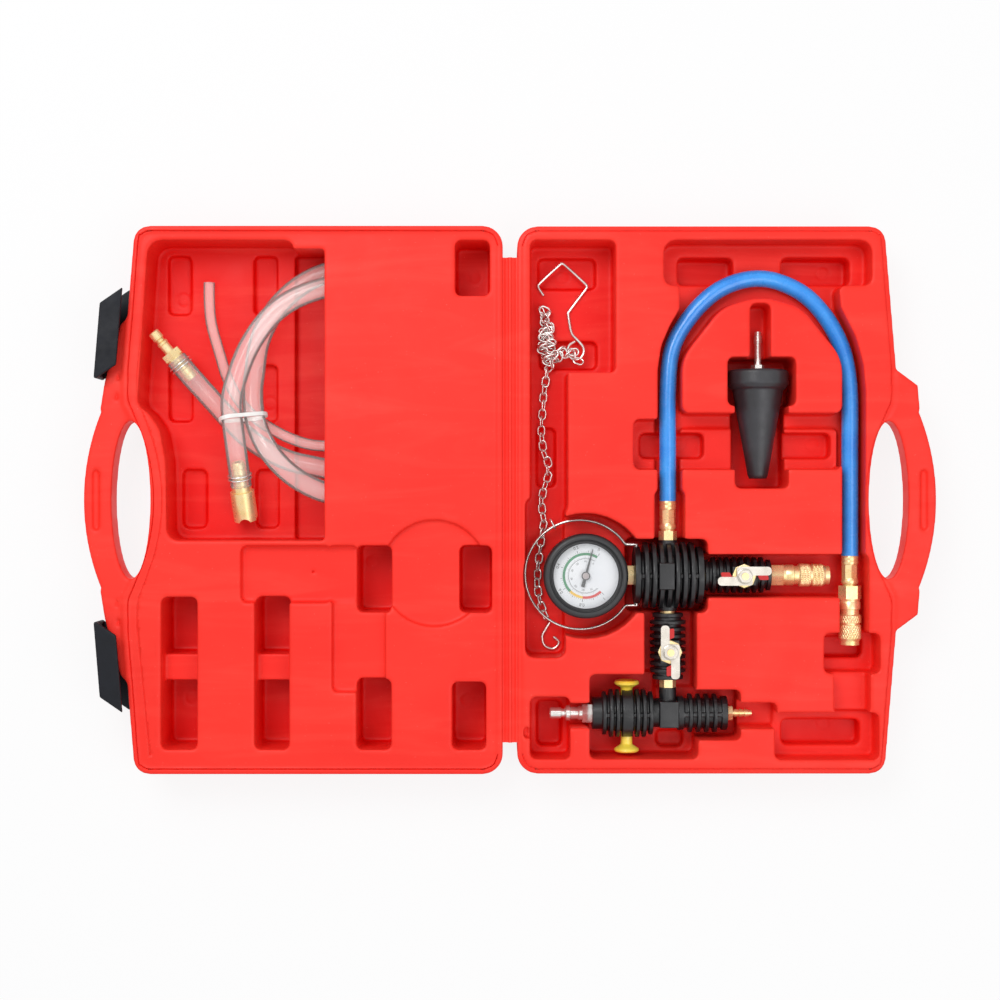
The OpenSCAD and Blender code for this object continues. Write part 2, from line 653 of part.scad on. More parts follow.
// Four-way manifold with fins, side ports and holes for the bail in its end collar
pin_y = 16.6;
pad_x = tool_x - 2.6;
port_end = port_low + nipple_gap;
rib_r = cross_end_r - 0.5;
module cross_manifold() color(black) difference() {
  union() {
    translate([cross_x0, tool_y, tool_z]) along_x() finned(cross_len, cross_r, 16, 5.3, 2.9, cross_end_r);
    translate([tool_x, port_end, tool_z]) along_y() cylinder(r = port_r, h = port_top - port_end);
    translate([pad_x - 5.2, tool_y - 9, tool_z]) cube([10.4, 18, cross_r]);
    translate([cross_x0, tool_y - 1.4, tool_z - rib_r]) cube([cross_len, 2.8, 2 * rib_r]);
  }
  translate([cross_x0 - 1, tool_y, tool_z]) along_x() cylinder(r = passage_r, h = cross_len + 2);
  translate([tool_x, port_low - 1, tool_z]) along_y()
    cylinder(r = passage_r - 0.6, h = port_top - port_low + 2);
  for (s = [-1, 1]) translate([bail_x, tool_y + s * (pin_y + over - 0.6), tool_z]) along_y()
    cylinder(r = bail_d / 2 + run_gap, h = 2 * over, center = true);
}

// Short brass nipples between the manifold and its two valves
module port_nipples() color(brass) {
  translate([cross_x1, tool_y, tool_z]) along_x() difference() {
    cylinder(r = 5, h = nipple_gap);
    translate([0, 0, -1]) cylinder(r = passage_r, h = nipple_gap + 2);
  }
  translate([tool_x, port_low, tool_z]) along_y() difference() {
    cylinder(r = 5, h = nipple_gap);
    translate([0, 0, -1]) cylinder(r = passage_r - 0.6, h = nipple_gap + 2);
  }
}

// Gauge, from its rubber boot inwards
nipple_r = 5;
cup_r = boot_r - boot_wall;
dial_r = cup_r - boot_lip;
bourdon_r = cup_r - 8.5;
bourdon_t = 2.4;
cup_z0 = boot_z + 2;
cup_z1 = gauge_top - 1.8;
cup_wall = 1.4;
dial_z = cup_z1 - 6;
inner_r = cup_r - cup_wall;
module gauge_axis() {
  translate([gauge_x, tool_y, 0]) children();
}
module nipple_hole() {
  translate([gauge_x + 10, tool_y, tool_z]) along_x() cylinder(r = nipple_r + touch, h = 40);
}
module gauge_boot() color(black) difference() {
  gauge_axis() rotate_extrude($fn = 96) polygon([
    [0, boot_z], [boot_r - 2, boot_z], [boot_r - 0.5, boot_z + 1.5], [boot_r - 0.5, gauge_top - 11],
    [boot_r, gauge_top - 10], [boot_r, gauge_top - 3], [boot_r - 2, gauge_top - 0.6], [boot_r - 3.4, gauge_top],
    [dial_r + 0.8, gauge_top], [dial_r, gauge_top - 0.8], [dial_r, cup_z1 + touch],
    [cup_r + touch, cup_z1 + touch], [cup_r + touch, cup_z0 - touch], [0, cup_z0 - touch]
  ]);
  nipple_hole();
  gauge_axis() for (a = [0:15:345]) rotate(a) translate([boot_r + 0.4, 0, boot_z + 3])
    cylinder(r = 1.2, h = 14, $fn = 8);
}
module gauge_case() color(nickel) difference() {
  gauge_axis() rotate_extrude($fn = 96) polygon([
    [0, cup_z0], [cup_r, cup_z0], [cup_r, cup_z1], [inner_r, cup_z1], [inner_r, cup_z0 + cup_wall],
    [0, cup_z0 + cup_wall]
  ]);
  nipple_hole();
}
module gauge_dial() color("white") difference() {
  gauge_axis() translate([0, 0, dial_z]) cylinder(r = inner_r - touch, h = 0.8, $fn = 96);
  gauge_axis() cylinder(r = 1.2, h = gauge_top);
}
module gauge_lens() color([0.9, 0.95, 1, 0.4]) gauge_axis()
  translate([0, 0, cup_z1 - 2]) cylinder(r = inner_r - touch, h = 2 - touch, $fn = 96);
module gauge_needle() color("black") gauge_axis() {
  z = dial_z + 1.4;
  translate([0, 0, z]) cylinder(r = 2, h = 1.2);
  translate([0, 0, dial_z - 3]) cylinder(r = 0.8, h = z - dial_z + 3.5);
  rotate(90 - needle_rest) translate([0, 0, z + 0.3]) linear_extrude(0.6)
    polygon([[-8, -1.3], [-8, 1.3], [0, 0.9], [needle_len, 0.25], [needle_len, -0.25], [0, -0.9]]);
}
module gauge_movement() color(brass) gauge_axis() difference() {
  translate([-9, -7, cup_z0 + cup_wall]) cube([18, 14, dial_z - cup_z0 - cup_wall]);
  translate([0, 0, dial_z - 3 - 2]) cylinder(r = 0.8 + run_gap, h = 20);
  translate([-6, -10, cup_z0 + 6]) cube([12, 20, dial_z - cup_z0 - 9]);
}
module bourdon_tube() color(brass) gauge_axis() translate([0, 0, tool_z]) {
  rotate(-10) rotate_extrude(angle = 260) translate([bourdon_r, 0]) square([bourdon_t, 7], center = true);
}
nipple_x = gauge_x + bourdon_r + bourdon_t / 2 + 0.2;
module gauge_nipple() color(brass) difference() {
  union() {
    translate([nipple_x, tool_y, tool_z]) along_x() cylinder(r = nipple_r, h = cross_x0 - nipple_x - touch);
    translate([gauge_x + boot_r + seat, tool_y, tool_z]) along_x()
      hex(13, cross_x0 - gauge_x - boot_r - 2 * seat);
  }
  translate([gauge_x, tool_y, tool_z]) along_x() cylinder(r = passage_r - 0.5, h = 60);
}

// Blue hose with its crimped ferrules and the far coupler
module ferrule() rotate_extrude() polygon([
  [0, 0], [4.8, 0], [4.8, 1.4], [5.8, 2], [5.8, 4.5], [5.4, 5.5], [5.4, 14], [5.8, 15], [5.5, 16.2],
  [5.9, 17.4],
  [5.9, 20], [5.5, ferrule_len], [0, ferrule_len]
]);
module hose_fitting() color(brass) translate([tool_x, port_top, tool_z]) along_y()
  hex(11, hose_hex_top - port_top);
module ferrule_top() color(brass) translate([tool_x, hose_hex_top, tool_z]) along_y() ferrule();
module blue_hose() color(blue) tube(blue_path, blue_d / 2, 10);
module ferrule_end() color(brass) translate([blue_x2, blue_end - ferrule_len, tool_z]) along_y() ferrule();
end_coupler_y = blue_end - ferrule_len;

// Quick coupler along Z: hex, neck, barrel with its ball holes and socket
hex_len = 9;
neck_end = 20;
barrel_end = neck_end + sleeve_len + 2.8;
ball_ring = barrel_end - 9;
lock_r = 1.2;
lock_at = (socket_r + barrel_r) / 2;
module coupler_body() difference() {
  union() {
    hex(13.9, hex_len);
    cylinder(r = barrel_r - 0.9, h = neck_end);
    translate([0, 0, hex_len + 2]) cylinder(r = barrel_r, h = barrel_end - hex_len - 2);
  }
  translate([0, 0, barrel_end - socket_depth]) cylinder(r = socket_r, h = socket_depth + 1);
  translate([0, 0, -1]) cylinder(r = passage_r - 0.5, h = barrel_end);
  for (a = [45:90:315]) rotate(a) translate([0, 0, ball_ring]) along_x()
    cylinder(r = lock_r + touch, h = 2 * barrel_r);
}
module coupler_sleeve() rotate_extrude() polygon(concat(
  [[barrel_r + run_gap, 0], [sleeve_r - 0.8, 0], [sleeve_r, 1.2]],
  [for (k = [0:3]) let (h = 3 * k) each
    [[sleeve_r, h + 3], [sleeve_r - 0.5, h + 3.4], [sleeve_r - 0.5, h + 4], [sleeve_r, h + 4.4]]],
  [[sleeve_r, sleeve_len - 1.2], [sleeve_r - 0.8, sleeve_len], [barrel_r + run_gap, sleeve_len]]
));
module lock_balls() for (a = [45:90:315]) rotate(a) translate([lock_at, 0, ball_ring]) sphere(r = lock_r);
module at_right_coupler() {
  translate([coupler_x, tool_y, tool_z]) along_x() children();
}
module at_end_coupler() {
  translate([blue_x2, end_coupler_y, tool_z]) rotate([90, 0, 0]) children();
}
module end_coupler_body() color(brass) at_end_coupler() coupler_body();
module end_coupler_sleeve() color(brass) at_end_coupler() translate([0, 0, neck_end]) coupler_sleeve();
module right_coupler_body() color(brass) at_right_coupler() coupler_body();
module right_coupler_sleeve() color(brass) at_right_coupler() translate([0, 0, neck_end]) coupler_sleeve();
module coupler_balls() color(nickel) {
  at_end_coupler() lock_balls();
  at_right_coupler() lock_balls();
}

// Ball valve along X from its inlet, with the lever on top
ball_flat = ball_r - 0.7;
lever_over = 0.5;
lever_z = rim_z + lever_over - tool_z;
pad_z = lever_z - 1;
module at_right_valve() {
  translate([valve_x0, tool_y, tool_z]) children();
}
module at_lower_valve() {
  translate([tool_x, port_low, tool_z]) rotate(-90) children();
}
module valve_body() difference() {
  union() {
    along_x() finned(valve_len, valve_r, 9.4, 4.8, 2.4, valve_r - 1.7);
    translate([valve_stem_at - 8, -6.5, 0]) cube([16, 13, pad_z]);
  }
  translate([-1, 0, 0]) along_x() cylinder(r = passage_r, h = valve_len + 2);
  translate([valve_stem_at, 0, 0]) sphere(r = ball_r + run_gap);
  translate([valve_stem_at, 0, 0]) cylinder(r = stem_r + run_gap, h = pad_z + 1);
}
module valve_ball() translate([valve_stem_at, 0, 0]) difference() {
  sphere(r = ball_r);
  translate([-ball_r, 0, 0]) along_x() cylinder(r = passage_r, h = 2 * ball_r);
  translate([-ball_r, -ball_r, ball_flat]) cube(2 * ball_r);
}
module valve_stem() translate([valve_stem_at, 0, ball_flat])
  cylinder(r = stem_r, h = lever_z + lever_t + 3.6 - ball_flat);
lever_arm = 18.5;
module valve_lever() translate([valve_stem_at, 0, lever_z]) difference() {
  linear_extrude(lever_t) polygon(rounded([
    [-lever_arm, -6.5, 2.5], [5.5, -6.5, 2], [5.5, 0.5, 1], [lever_arm, 0.5, 2.5],
    [lever_arm, 6.5, 2.5], [-5.5, 6.5, 2], [-5.5, -0.5, 1], [-lever_arm, -0.5, 2.5]
  ]));
  translate([0, 0, -1]) cylinder(r = stem_r + touch, h = 4);
}
tab_len = 7;
module valve_tabs() translate([valve_stem_at, 0, lever_z]) for (a = [0, 180]) rotate(a)
  linear_extrude(lever_t + 0.5) polygon(rounded([
    [lever_arm - 1.2 - tab_len, -2.6, 1], [lever_arm - 1.8, -2.6, 1],
    [lever_arm - 2.6, 0.5, 0], [lever_arm - 2.6 - tab_len, 0.5, 0]
  ]));
module valve_nut() translate([valve_stem_at, 0, lever_z + lever_t]) difference() {
  hex(8, 3);
  translate([0, 0, -1]) cylinder(r = stem_r + touch, h = 6);
}
module right_valve_body() color(black) at_right_valve() valve_body();
module right_valve_ball() color(nickel) at_right_valve() valve_ball();
module right_valve_stem() color(nickel) at_right_valve() valve_stem();
module right_valve_lever() color(nickel) at_right_valve() valve_lever();
module right_valve_tabs() color("red") at_right_valve() valve_tabs();
module right_valve_nut() color(nickel) at_right_valve() valve_nut();
module lower_valve_body() color(black) at_lower_valve() valve_body();
module lower_valve_ball() color(nickel) at_lower_valve() valve_ball();
module lower_valve_stem() color(nickel) at_lower_valve() valve_stem();
module lower_valve_lever() color(nickel) at_lower_valve() valve_lever();
module lower_valve_tabs() color("red") at_lower_valve() valve_tabs();
module lower_valve_nut() color(nickel) at_lower_valve() valve_nut();
module lower_adapter() color(brass) translate([tool_x, adapter_end, tool_z]) along_y() difference() {
  hex(10, valve_low_end - adapter_end);
  translate([0, 0, -1]) cylinder(r = passage_r - 0.6, h = 20);
}

// Air ejector: finned body, neck and block, with the nozzle and the sliding spool
nozzle_r = 3.2;
cap_len = 7;
spine_w = 7;
block_h = 12.5;
module ejector_body() color(black) difference() {
  union() {
    translate([ejector_x0 + cap_len, ejector_y, tool_z]) along_x()
      finned(ejector_len - cap_len, ejector_r, 12.5, 4.6, 2.5, ejector_r - 1.6);
    translate([ejector_x0, ejector_y, tool_z]) along_x() cylinder(r = 11.3, h = cap_len + 1);
    translate([spool_x - spine_w / 2, ejector_y, tool_z]) along_x() cylinder(r = ejector_r, h = spine_w);
    translate([ejector_x0 + cap_len, ejector_y - 1.3, tool_z])
      cube([ejector_len - cap_len, 2.6, ejector_r - 2]);
    translate([ejector_x0 + over, ejector_y, tool_z]) along_x() cylinder(r = 10, h = ejector_len + neck_len);
    translate([tool_x - block_half, ejector_y - 9, tool_z - 9]) cube([2 * block_half, 18, 9 + block_h]);
    translate([tool_x, ejector_y, tool_z]) along_y() cylinder(r = ejector_port_r, h = adapter_end - ejector_y);
  }
  translate([ejector_x0 - 1, ejector_y, tool_z]) along_x()
    cylinder(r = nozzle_r, h = tool_x + block_half - ejector_x0 + 2);
  translate([tool_x, ejector_y, tool_z]) along_y() cylinder(r = passage_r - 0.6, h = 40);
  translate([spool_x, ejector_y - 30, tool_z]) along_y() cylinder(r = spool_r + run_gap, h = 60);
}
module ejector_nozzle() color(brass) translate([spool_x + 10, ejector_y, tool_z]) along_x()
  rotate_extrude() polygon([
    [1.4, 0], [nozzle_r - touch, 0], [nozzle_r - touch, 9], [1.8, 17], [0.8, 17], [0.8, 11]
  ]);
knob_gap = 0.3;
near_end = ejector_r + knob_gap;
module ejector_spool() color([1, 0.78, 0]) translate([spool_x, ejector_y, tool_z]) rotate([90, 0, 0])
  rotate_extrude() polygon([
    [0, -near_end - 6.2], [knob_r - 1, -near_end - 6.2], [knob_r, -near_end - 5.2], [knob_r, -near_end - 1],
    [knob_r - 1, -near_end], [spool_r, -near_end], [spool_r, ejector_r + 5.3], [knob_r - 1, ejector_r + 5.3],
    [knob_r, ejector_r + 6.3], [knob_r, ejector_r + 9.4], [knob_r - 1.4, ejector_r + 10.6],
    [0, ejector_r + 10.6]
  ]);
module air_plug() color(nickel) translate([ejector_x0, ejector_y, tool_z]) rotate([0, -90, 0]) difference() {
  union() {
    hex(12.5, 7);
    rotate_extrude() polygon([
      [0, 6.5], [5.2, 6.5], [5.2, 9], [4.3, 10], [4.3, 15], [5.4, 15.6], [5.4, 18], [plug_r, 18.6], [3, 19.4],
      [3, 21.4], [plug_r, 22], [plug_r, plug_len - 0.6], [plug_r - 0.6, plug_len], [0, plug_len]
    ]);
  }
  translate([0, 0, -1]) cylinder(r = 2.4, h = plug_len + 2);
}
module muffler() color(black) translate([tool_x + block_half, ejector_y, tool_z]) along_x() difference() {
  union() {
    finned(muffler_len, muffler_r, 10.4, 5.7, 2.4, muffler_r - 1.6);
    translate([1.8 - muffler_r, -1.3, 0]) cube([2 * muffler_r - 3.6, 2.6, muffler_len]);
  }
  translate([0, 0, -1]) cylinder(r = passage_r + 1, h = muffler_len - 3);
  cylinder(r = passage_r - 0.6, h = muffler_len + 1);
}
module outlet_barb() color(brass) translate([muffler_x1, ejector_y, tool_z]) along_x() difference() {
  union() {
    hex(9.5, 4);
    rotate_extrude() polygon(concat(
      [[0, 3], [2.2, 3]],
      [for (k = [0:2]) each [[2.2, 5.5 + k * 3.6], [2.9, 5.5 + k * 3.6], [2.2, 8.6 + k * 3.6]]],
      [[1.9, 17.5], [0, 17.5]]
    ));
  }
  translate([0, 0, -1]) cylinder(r = 1.2, h = 22);
}

// Wire bail: pins in the manifold's collar, legs, and a loop that slopes down round the gauge to the floor
leg_y = cross_end_r + bail_d / 2 + 0.5;
bail_open = asin(leg_y / bail_r) + 1;
function bail_at(x, y) = [x, tool_y + y, tool_z - bail_slope * (bail_x - x)];
bail_pts = concat(
  [bail_at(bail_x, leg_y), bail_at(bail_x - 5.5, leg_y)],
  [for (k = [0:32]) let (a = bail_open + (360 - 2 * bail_open) * k / 32)
    bail_at(bail_cx + bail_r * cos(a), bail_r * sin(a))],
  [bail_at(bail_x - 5.5, -leg_y), bail_at(bail_x, -leg_y)]
);
module bail() color(nickel) {
  tube(bail_pts, bail_d / 2, 8);
  for (s = [-1, 1]) translate([bail_x, tool_y + s * (pin_y + leg_y + bail_d / 2) / 2, tool_z]) along_y()
    cylinder(r = bail_d / 2, h = leg_y + bail_d / 2 - pin_y, center = true);
}

// Oval link in the XY plane, long along X
module link() {
  straight = link_l - link_w;
  bend_r = (link_w - link_d) / 2;
  for (s = [-1, 1]) {
    translate([s * straight / 2, 0, 0]) rotate(s > 0 ? -90 : 90)
      rotate_extrude(angle = 180, $fn = 24) translate([bend_r, 0]) circle(d = link_d, $fn = 16);
    translate([-straight / 2, s * bend_r, 0]) rotate([0, 90, 0]) cylinder(d = link_d, h = straight, $fn = 16);
  }
}
module chain(route) {
  path = curve(route, 6);
  count = 2 * ceil(length(path) / chain_pitch / 2);
  pitch = length(path) / count;
  for (i = [0:count - 1]) {
    a = walk(path, i * pitch);
    b = walk(path, (i + 1) * pitch);
    d = unit(b - a);
    translate((a + b) / 2) rotate([0, -asin(d[2]), atan2(d[1], d[0])])
      rotate([chain_roll - 90 * (i % 2), 0, 0]) link();
  }
}
module chain_long() color(nickel) chain(chain_route);
module chain_short() color(nickel) chain(short_route);
module bail_links() color(nickel) {
  hang = link_l / 2 - link_d - bail_d / 2 - 0.2;
  held = bail_at(bail_cx + bail_r * cos(bail_link_at), bail_r * sin(bail_link_at));
  translate(held) rotate(bail_link_at) translate([hang, 0, 0]) rotate([90, 0, 0]) link();
}
module chain_hook() color(nickel) tube(curve(hook_route, 3), hook_d / 2, 8);
module s_hook() color(nickel) tube(curve(s_route, 4), hook_d / 2, 8);

// Rubber cone with the plug in its large end
module at_cone() {
  translate([cone_x, cone_top, cone_z]) rotate([90, 0, 0]) children();
}
module rubber_cone() color(black) at_cone() rotate_extrude($fn = 72) polygon([
  [3.1, 0], [cone_r - 1.5, 0], [cone_r, 1.5], [cone_r, 10], [cone_r - 1.8, 12.7], [cone_r - 3.8, 14],
  [cone_tip_r + 1, cone_len - 2], [cone_tip_r, cone_len], [3.1, cone_len]
]);
module cone_plug() color(nickel) at_cone() difference() {
  union() {
    translate([0, 0, -3.6]) hex(8, 3.6);
    translate([0, 0, -27]) cylinder(r = 2.4, h = 27);
    translate([0, 0, -24]) cylinder(r = 2.9, h = 5);
    cylinder(r = 3.05, h = 24);
  }
  translate([0, 0, -28]) cylinder(r = 1.4, h = 60);
}

// Clear hoses in the lid, with their brass ends, wire clamps and tie
blue_path = curve(lift(blue_route, tool_z), 3);
echo(suction_self_gap = self_gap(suction_route, suction_d / 2, 4));
echo(drain_self_gap = self_gap(drain_route, drain_d / 2, 5));
echo(lengths = [length(suction_route), length(drain_route), length(blue_path)]);
module suction_hose() color(clear) tube(suction_route, suction_d / 2, 10);
module drain_hose() color(clear) tube(drain_route, drain_d / 2, 8);
module hose_plug() color(brass) translate(suction_route[0]) facing(-suction_dir) difference() {
  union() {
    cylinder(r = suction_d / 2 - 1, h = 2);
    translate([0, 0, 1.5]) hex(13, 5);
    rotate_extrude() polygon([
      [0, 6], [3.6, 6], [3.6, 13], [4, 13.4], [4, 15], [3, 16], [3, 17.5], [plug_r, 18.2], [plug_r, 23.9],
      [plug_r - 0.6, 24.5], [0, 24.5]
    ]);
  }
  translate([0, 0, 2.5]) cylinder(r = 2.2, h = 30);
}
module hose_foot() color(brass) translate(foot_end) facing(foot_dir) difference() {
  union() {
    cylinder(r = suction_d / 2 - 0.6, h = 5);
    translate([0, 0, 4]) cylinder(r = foot_r, h = foot_len);
  }
  translate([0, 0, 7]) cylinder(r = foot_r - 1.4, h = foot_len);
  for (a = [0, 90]) rotate(a) translate([0, 0, foot_len + 5.4]) along_y() translate([0, 0, -12])
    cylinder(r = 4, h = 24);
}
module clamp_at(p, d) translate(p) facing(d) for (k = [0, 1]) translate([0, 0, k * 2.6])
  rotate_extrude() translate([suction_d / 2 + 0.65, 0]) circle(r = 0.6, $fn = 16);
module hose_clamps() color(nickel) {
  clamp_at(suction_route[0] + 4 * suction_dir, suction_dir);
  clamp_at(foot_end - 8 * foot_dir, foot_dir);
}
// The tie lies square to the mean run of the two strands that it holds
module cable_tie() color("white") {
  r = suction_d / 2 + 0.7;
  band = 0.9;
  b_dir = along(suction_route, tie_b_at);
  z = unit(along(suction_route, tie_a_at) + b_dir);
  far = tie_b - b_dir * ((tie_b - tie_a) * z) / (b_dir * z);
  span = norm(far - tie_a);
  x = unit(far - tie_a);
  y = cross(z, x);
  multmatrix([[x[0], y[0], z[0], tie_a[0]], [x[1], y[1], z[1], tie_a[1]], [x[2], y[2], z[2], tie_a[2]]])
    linear_extrude(2.6, center = true) difference() {
      polygon(rounded(box_corners(-r - band, span + r + band, -r - band, r + band, r)));
      polygon(rounded(box_corners(-r, span + r, -r, r, r - 0.4)));
    }
}

base_case();
lid_case();
living_hinge();
latch_upper();
latch_lower();
cross_manifold();
port_nipples();
gauge_boot();
gauge_case();
gauge_dial();
gauge_lens();
gauge_needle();
gauge_movement();
bourdon_tube();
gauge_nipple();
hose_fitting();
ferrule_top();
blue_hose();
ferrule_end();
end_coupler_body();
end_coupler_sleeve();
right_valve_body();
right_valve_ball();
right_valve_stem();
right_valve_lever();
right_valve_tabs();
right_valve_nut();
right_coupler_body();
right_coupler_sleeve();
coupler_balls();
lower_valve_body();
lower_valve_ball();
lower_valve_stem();
lower_valve_lever();
lower_valve_tabs();
lower_valve_nut();
lower_adapter();
ejector_body();
ejector_nozzle();
ejector_spool();
air_plug();
muffler();
outlet_barb();
bail();
bail_links();
chain_long();
chain_short();
chain_hook();
s_hook();
rubber_cone();
cone_plug();
suction_hose();
drain_hose();
hose_plug();
hose_foot();
hose_clamps();
cable_tie();
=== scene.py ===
import json
import math
import bmesh
import bpy
import numpy as np
from mathutils import Matrix, Vector


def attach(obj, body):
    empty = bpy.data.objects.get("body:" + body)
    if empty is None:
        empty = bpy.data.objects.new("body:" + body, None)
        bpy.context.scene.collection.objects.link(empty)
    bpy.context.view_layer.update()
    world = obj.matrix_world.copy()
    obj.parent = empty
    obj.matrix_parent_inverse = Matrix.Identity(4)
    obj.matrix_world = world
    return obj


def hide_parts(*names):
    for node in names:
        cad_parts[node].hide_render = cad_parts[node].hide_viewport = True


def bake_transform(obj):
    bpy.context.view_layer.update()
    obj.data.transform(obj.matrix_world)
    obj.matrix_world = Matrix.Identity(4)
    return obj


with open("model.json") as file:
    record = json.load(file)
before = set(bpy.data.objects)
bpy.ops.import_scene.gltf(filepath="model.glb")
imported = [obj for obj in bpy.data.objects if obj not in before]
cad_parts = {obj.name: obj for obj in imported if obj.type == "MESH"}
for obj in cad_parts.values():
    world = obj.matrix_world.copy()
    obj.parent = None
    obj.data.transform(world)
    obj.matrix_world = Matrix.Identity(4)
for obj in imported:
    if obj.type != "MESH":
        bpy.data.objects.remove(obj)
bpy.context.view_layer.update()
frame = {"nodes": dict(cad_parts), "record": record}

scene = bpy.context.scene
nodes = frame["nodes"]
node_body = {n: b for b, ns in frame["record"]["behaviour"]["bodies"].items() for n in ns}
node_slot = {s["node"]: s["material_slot"] for s in frame["record"]["subparts"]}
MM = 0.001
TAU = 2 * math.pi

# Places that the pieces share, in millimetres: the tool's centre lines, the gauge, the blue hose's far leg
TOOL_X, TOOL_Y, TOOL_Z = 110.5, -52.5, 29
GAUGE = (52.4, TOOL_Y)
END_X = 238
UP = (0, 0, 1)


# Stage: camera straight above, soft light, white floor
def camera():
    data = bpy.data.cameras.new("camera")
    data.sensor_width = 36
    data.lens = 60
    data.clip_start = 0.05
    obj = bpy.data.objects.new("camera", data)
    obj.location = (-0.0069, 0, 1.196)
    scene.collection.objects.link(obj)
    scene.camera = obj


def lamp(name, place, target, size, power):
    data = bpy.data.lights.new(name, "AREA")
    data.size = size
    data.energy = power
    obj = bpy.data.objects.new(name, data)
    obj.location = place
    obj.rotation_euler = (Vector(target) - Vector(place)).to_track_quat("-Z", "Y").to_euler()
    scene.collection.objects.link(obj)


def node_tree(owner):
    owner.use_nodes = True
    tree = owner.node_tree
    tree.nodes.clear()
    return tree


def seen_rays(tree):
    """1 for the rays by which the background itself is seen, 0 for those that light the object."""
    path = tree.nodes.new("ShaderNodeLightPath")
    total = path.outputs["Is Camera Ray"]
    for name in ("Is Glossy Ray", "Is Transmission Ray"):
        add = tree.nodes.new("ShaderNodeMath")
        add.operation = "MAXIMUM"
        tree.links.new(total, add.inputs[0])
        tree.links.new(path.outputs[name], add.inputs[1])
        total = add.outputs[0]
    return total


def stage():
    world = bpy.data.worlds.new("world")
    scene.world = world
    tree = node_tree(world)
    out = tree.nodes.new("ShaderNodeOutputWorld")
    mix = tree.nodes.new("ShaderNodeMixShader")
    parts = []
    for colour, strength in (((1, 0.99, 0.98, 1), 0.52), ((1, 1, 1, 1), 1.0)):
        bg = tree.nodes.new("ShaderNodeBackground")
        bg.inputs["Color"].default_value = colour
        bg.inputs["Strength"].default_value = strength
        parts.append(bg)
    tree.links.new(seen_rays(tree), mix.inputs[0])
    tree.links.new(parts[0].outputs[0], mix.inputs[1])
    tree.links.new(parts[1].outputs[0], mix.inputs[2])
    tree.links.new(mix.outputs[0], out.inputs[0])
    lamp("key", (-0.55, 0.75, 1.5), (0, 0, 0.03), 0.9, 14.5)
    lamp("fill", (0.8, -0.4, 1.6), (0, 0, 0.03), 1.2, 8.5)

    mesh = bpy.data.meshes.new("floor")
    s = 3.0
    mesh.from_pydata([(-s, -s, -2e-4), (s, -s, -2e-4), (s, s, -2e-4), (-s, s, -2e-4)], [], [(0, 1, 2, 3)])
    floor = bpy.data.objects.new("floor", mesh)
    scene.collection.objects.link(floor)
    mat = bpy.data.materials.new("floor_white")
    tree = node_tree(mat)
    out = tree.nodes.new("ShaderNodeOutputMaterial")
    plain = tree.nodes.new("ShaderNodeBsdfDiffuse")
    plain.inputs["Color"].default_value = (0.86, 0.86, 0.88, 1)
    glow = tree.nodes.new("ShaderNodeEmission")
    glow.inputs["Color"].default_value = (1, 1, 1, 1)
    tree.links.new(seen_rays(tree), glow.inputs["Strength"])
    dim = tree.nodes.new("ShaderNodeMixShader")
    dim.inputs[0].default_value = 0.86
    tree.links.new(plain.outputs[0], dim.inputs[1])
    tree.links.new(glow.outputs[0], dim.inputs[2])
    pick = tree.nodes.new("ShaderNodeMixShader")
    tree.links.new(seen_rays(tree), pick.inputs[0])
    tree.links.new(plain.outputs[0], pick.inputs[1])
    tree.links.new(dim.outputs[0], pick.inputs[2])
    tree.links.new(pick.outputs[0], out.inputs[0])
    mesh.materials.append(mat)
    scene.view_settings.view_transform = "Standard"


# Materials
def linear(hex_code):
    out = []
    for k in (0, 2, 4):
        c = int(hex_code[k:k + 2], 16) / 255
        out.append(c / 12.92 if c <= 0.04045 else ((c + 0.055) / 1.055) ** 2.4)
    return (*out, 1.0)


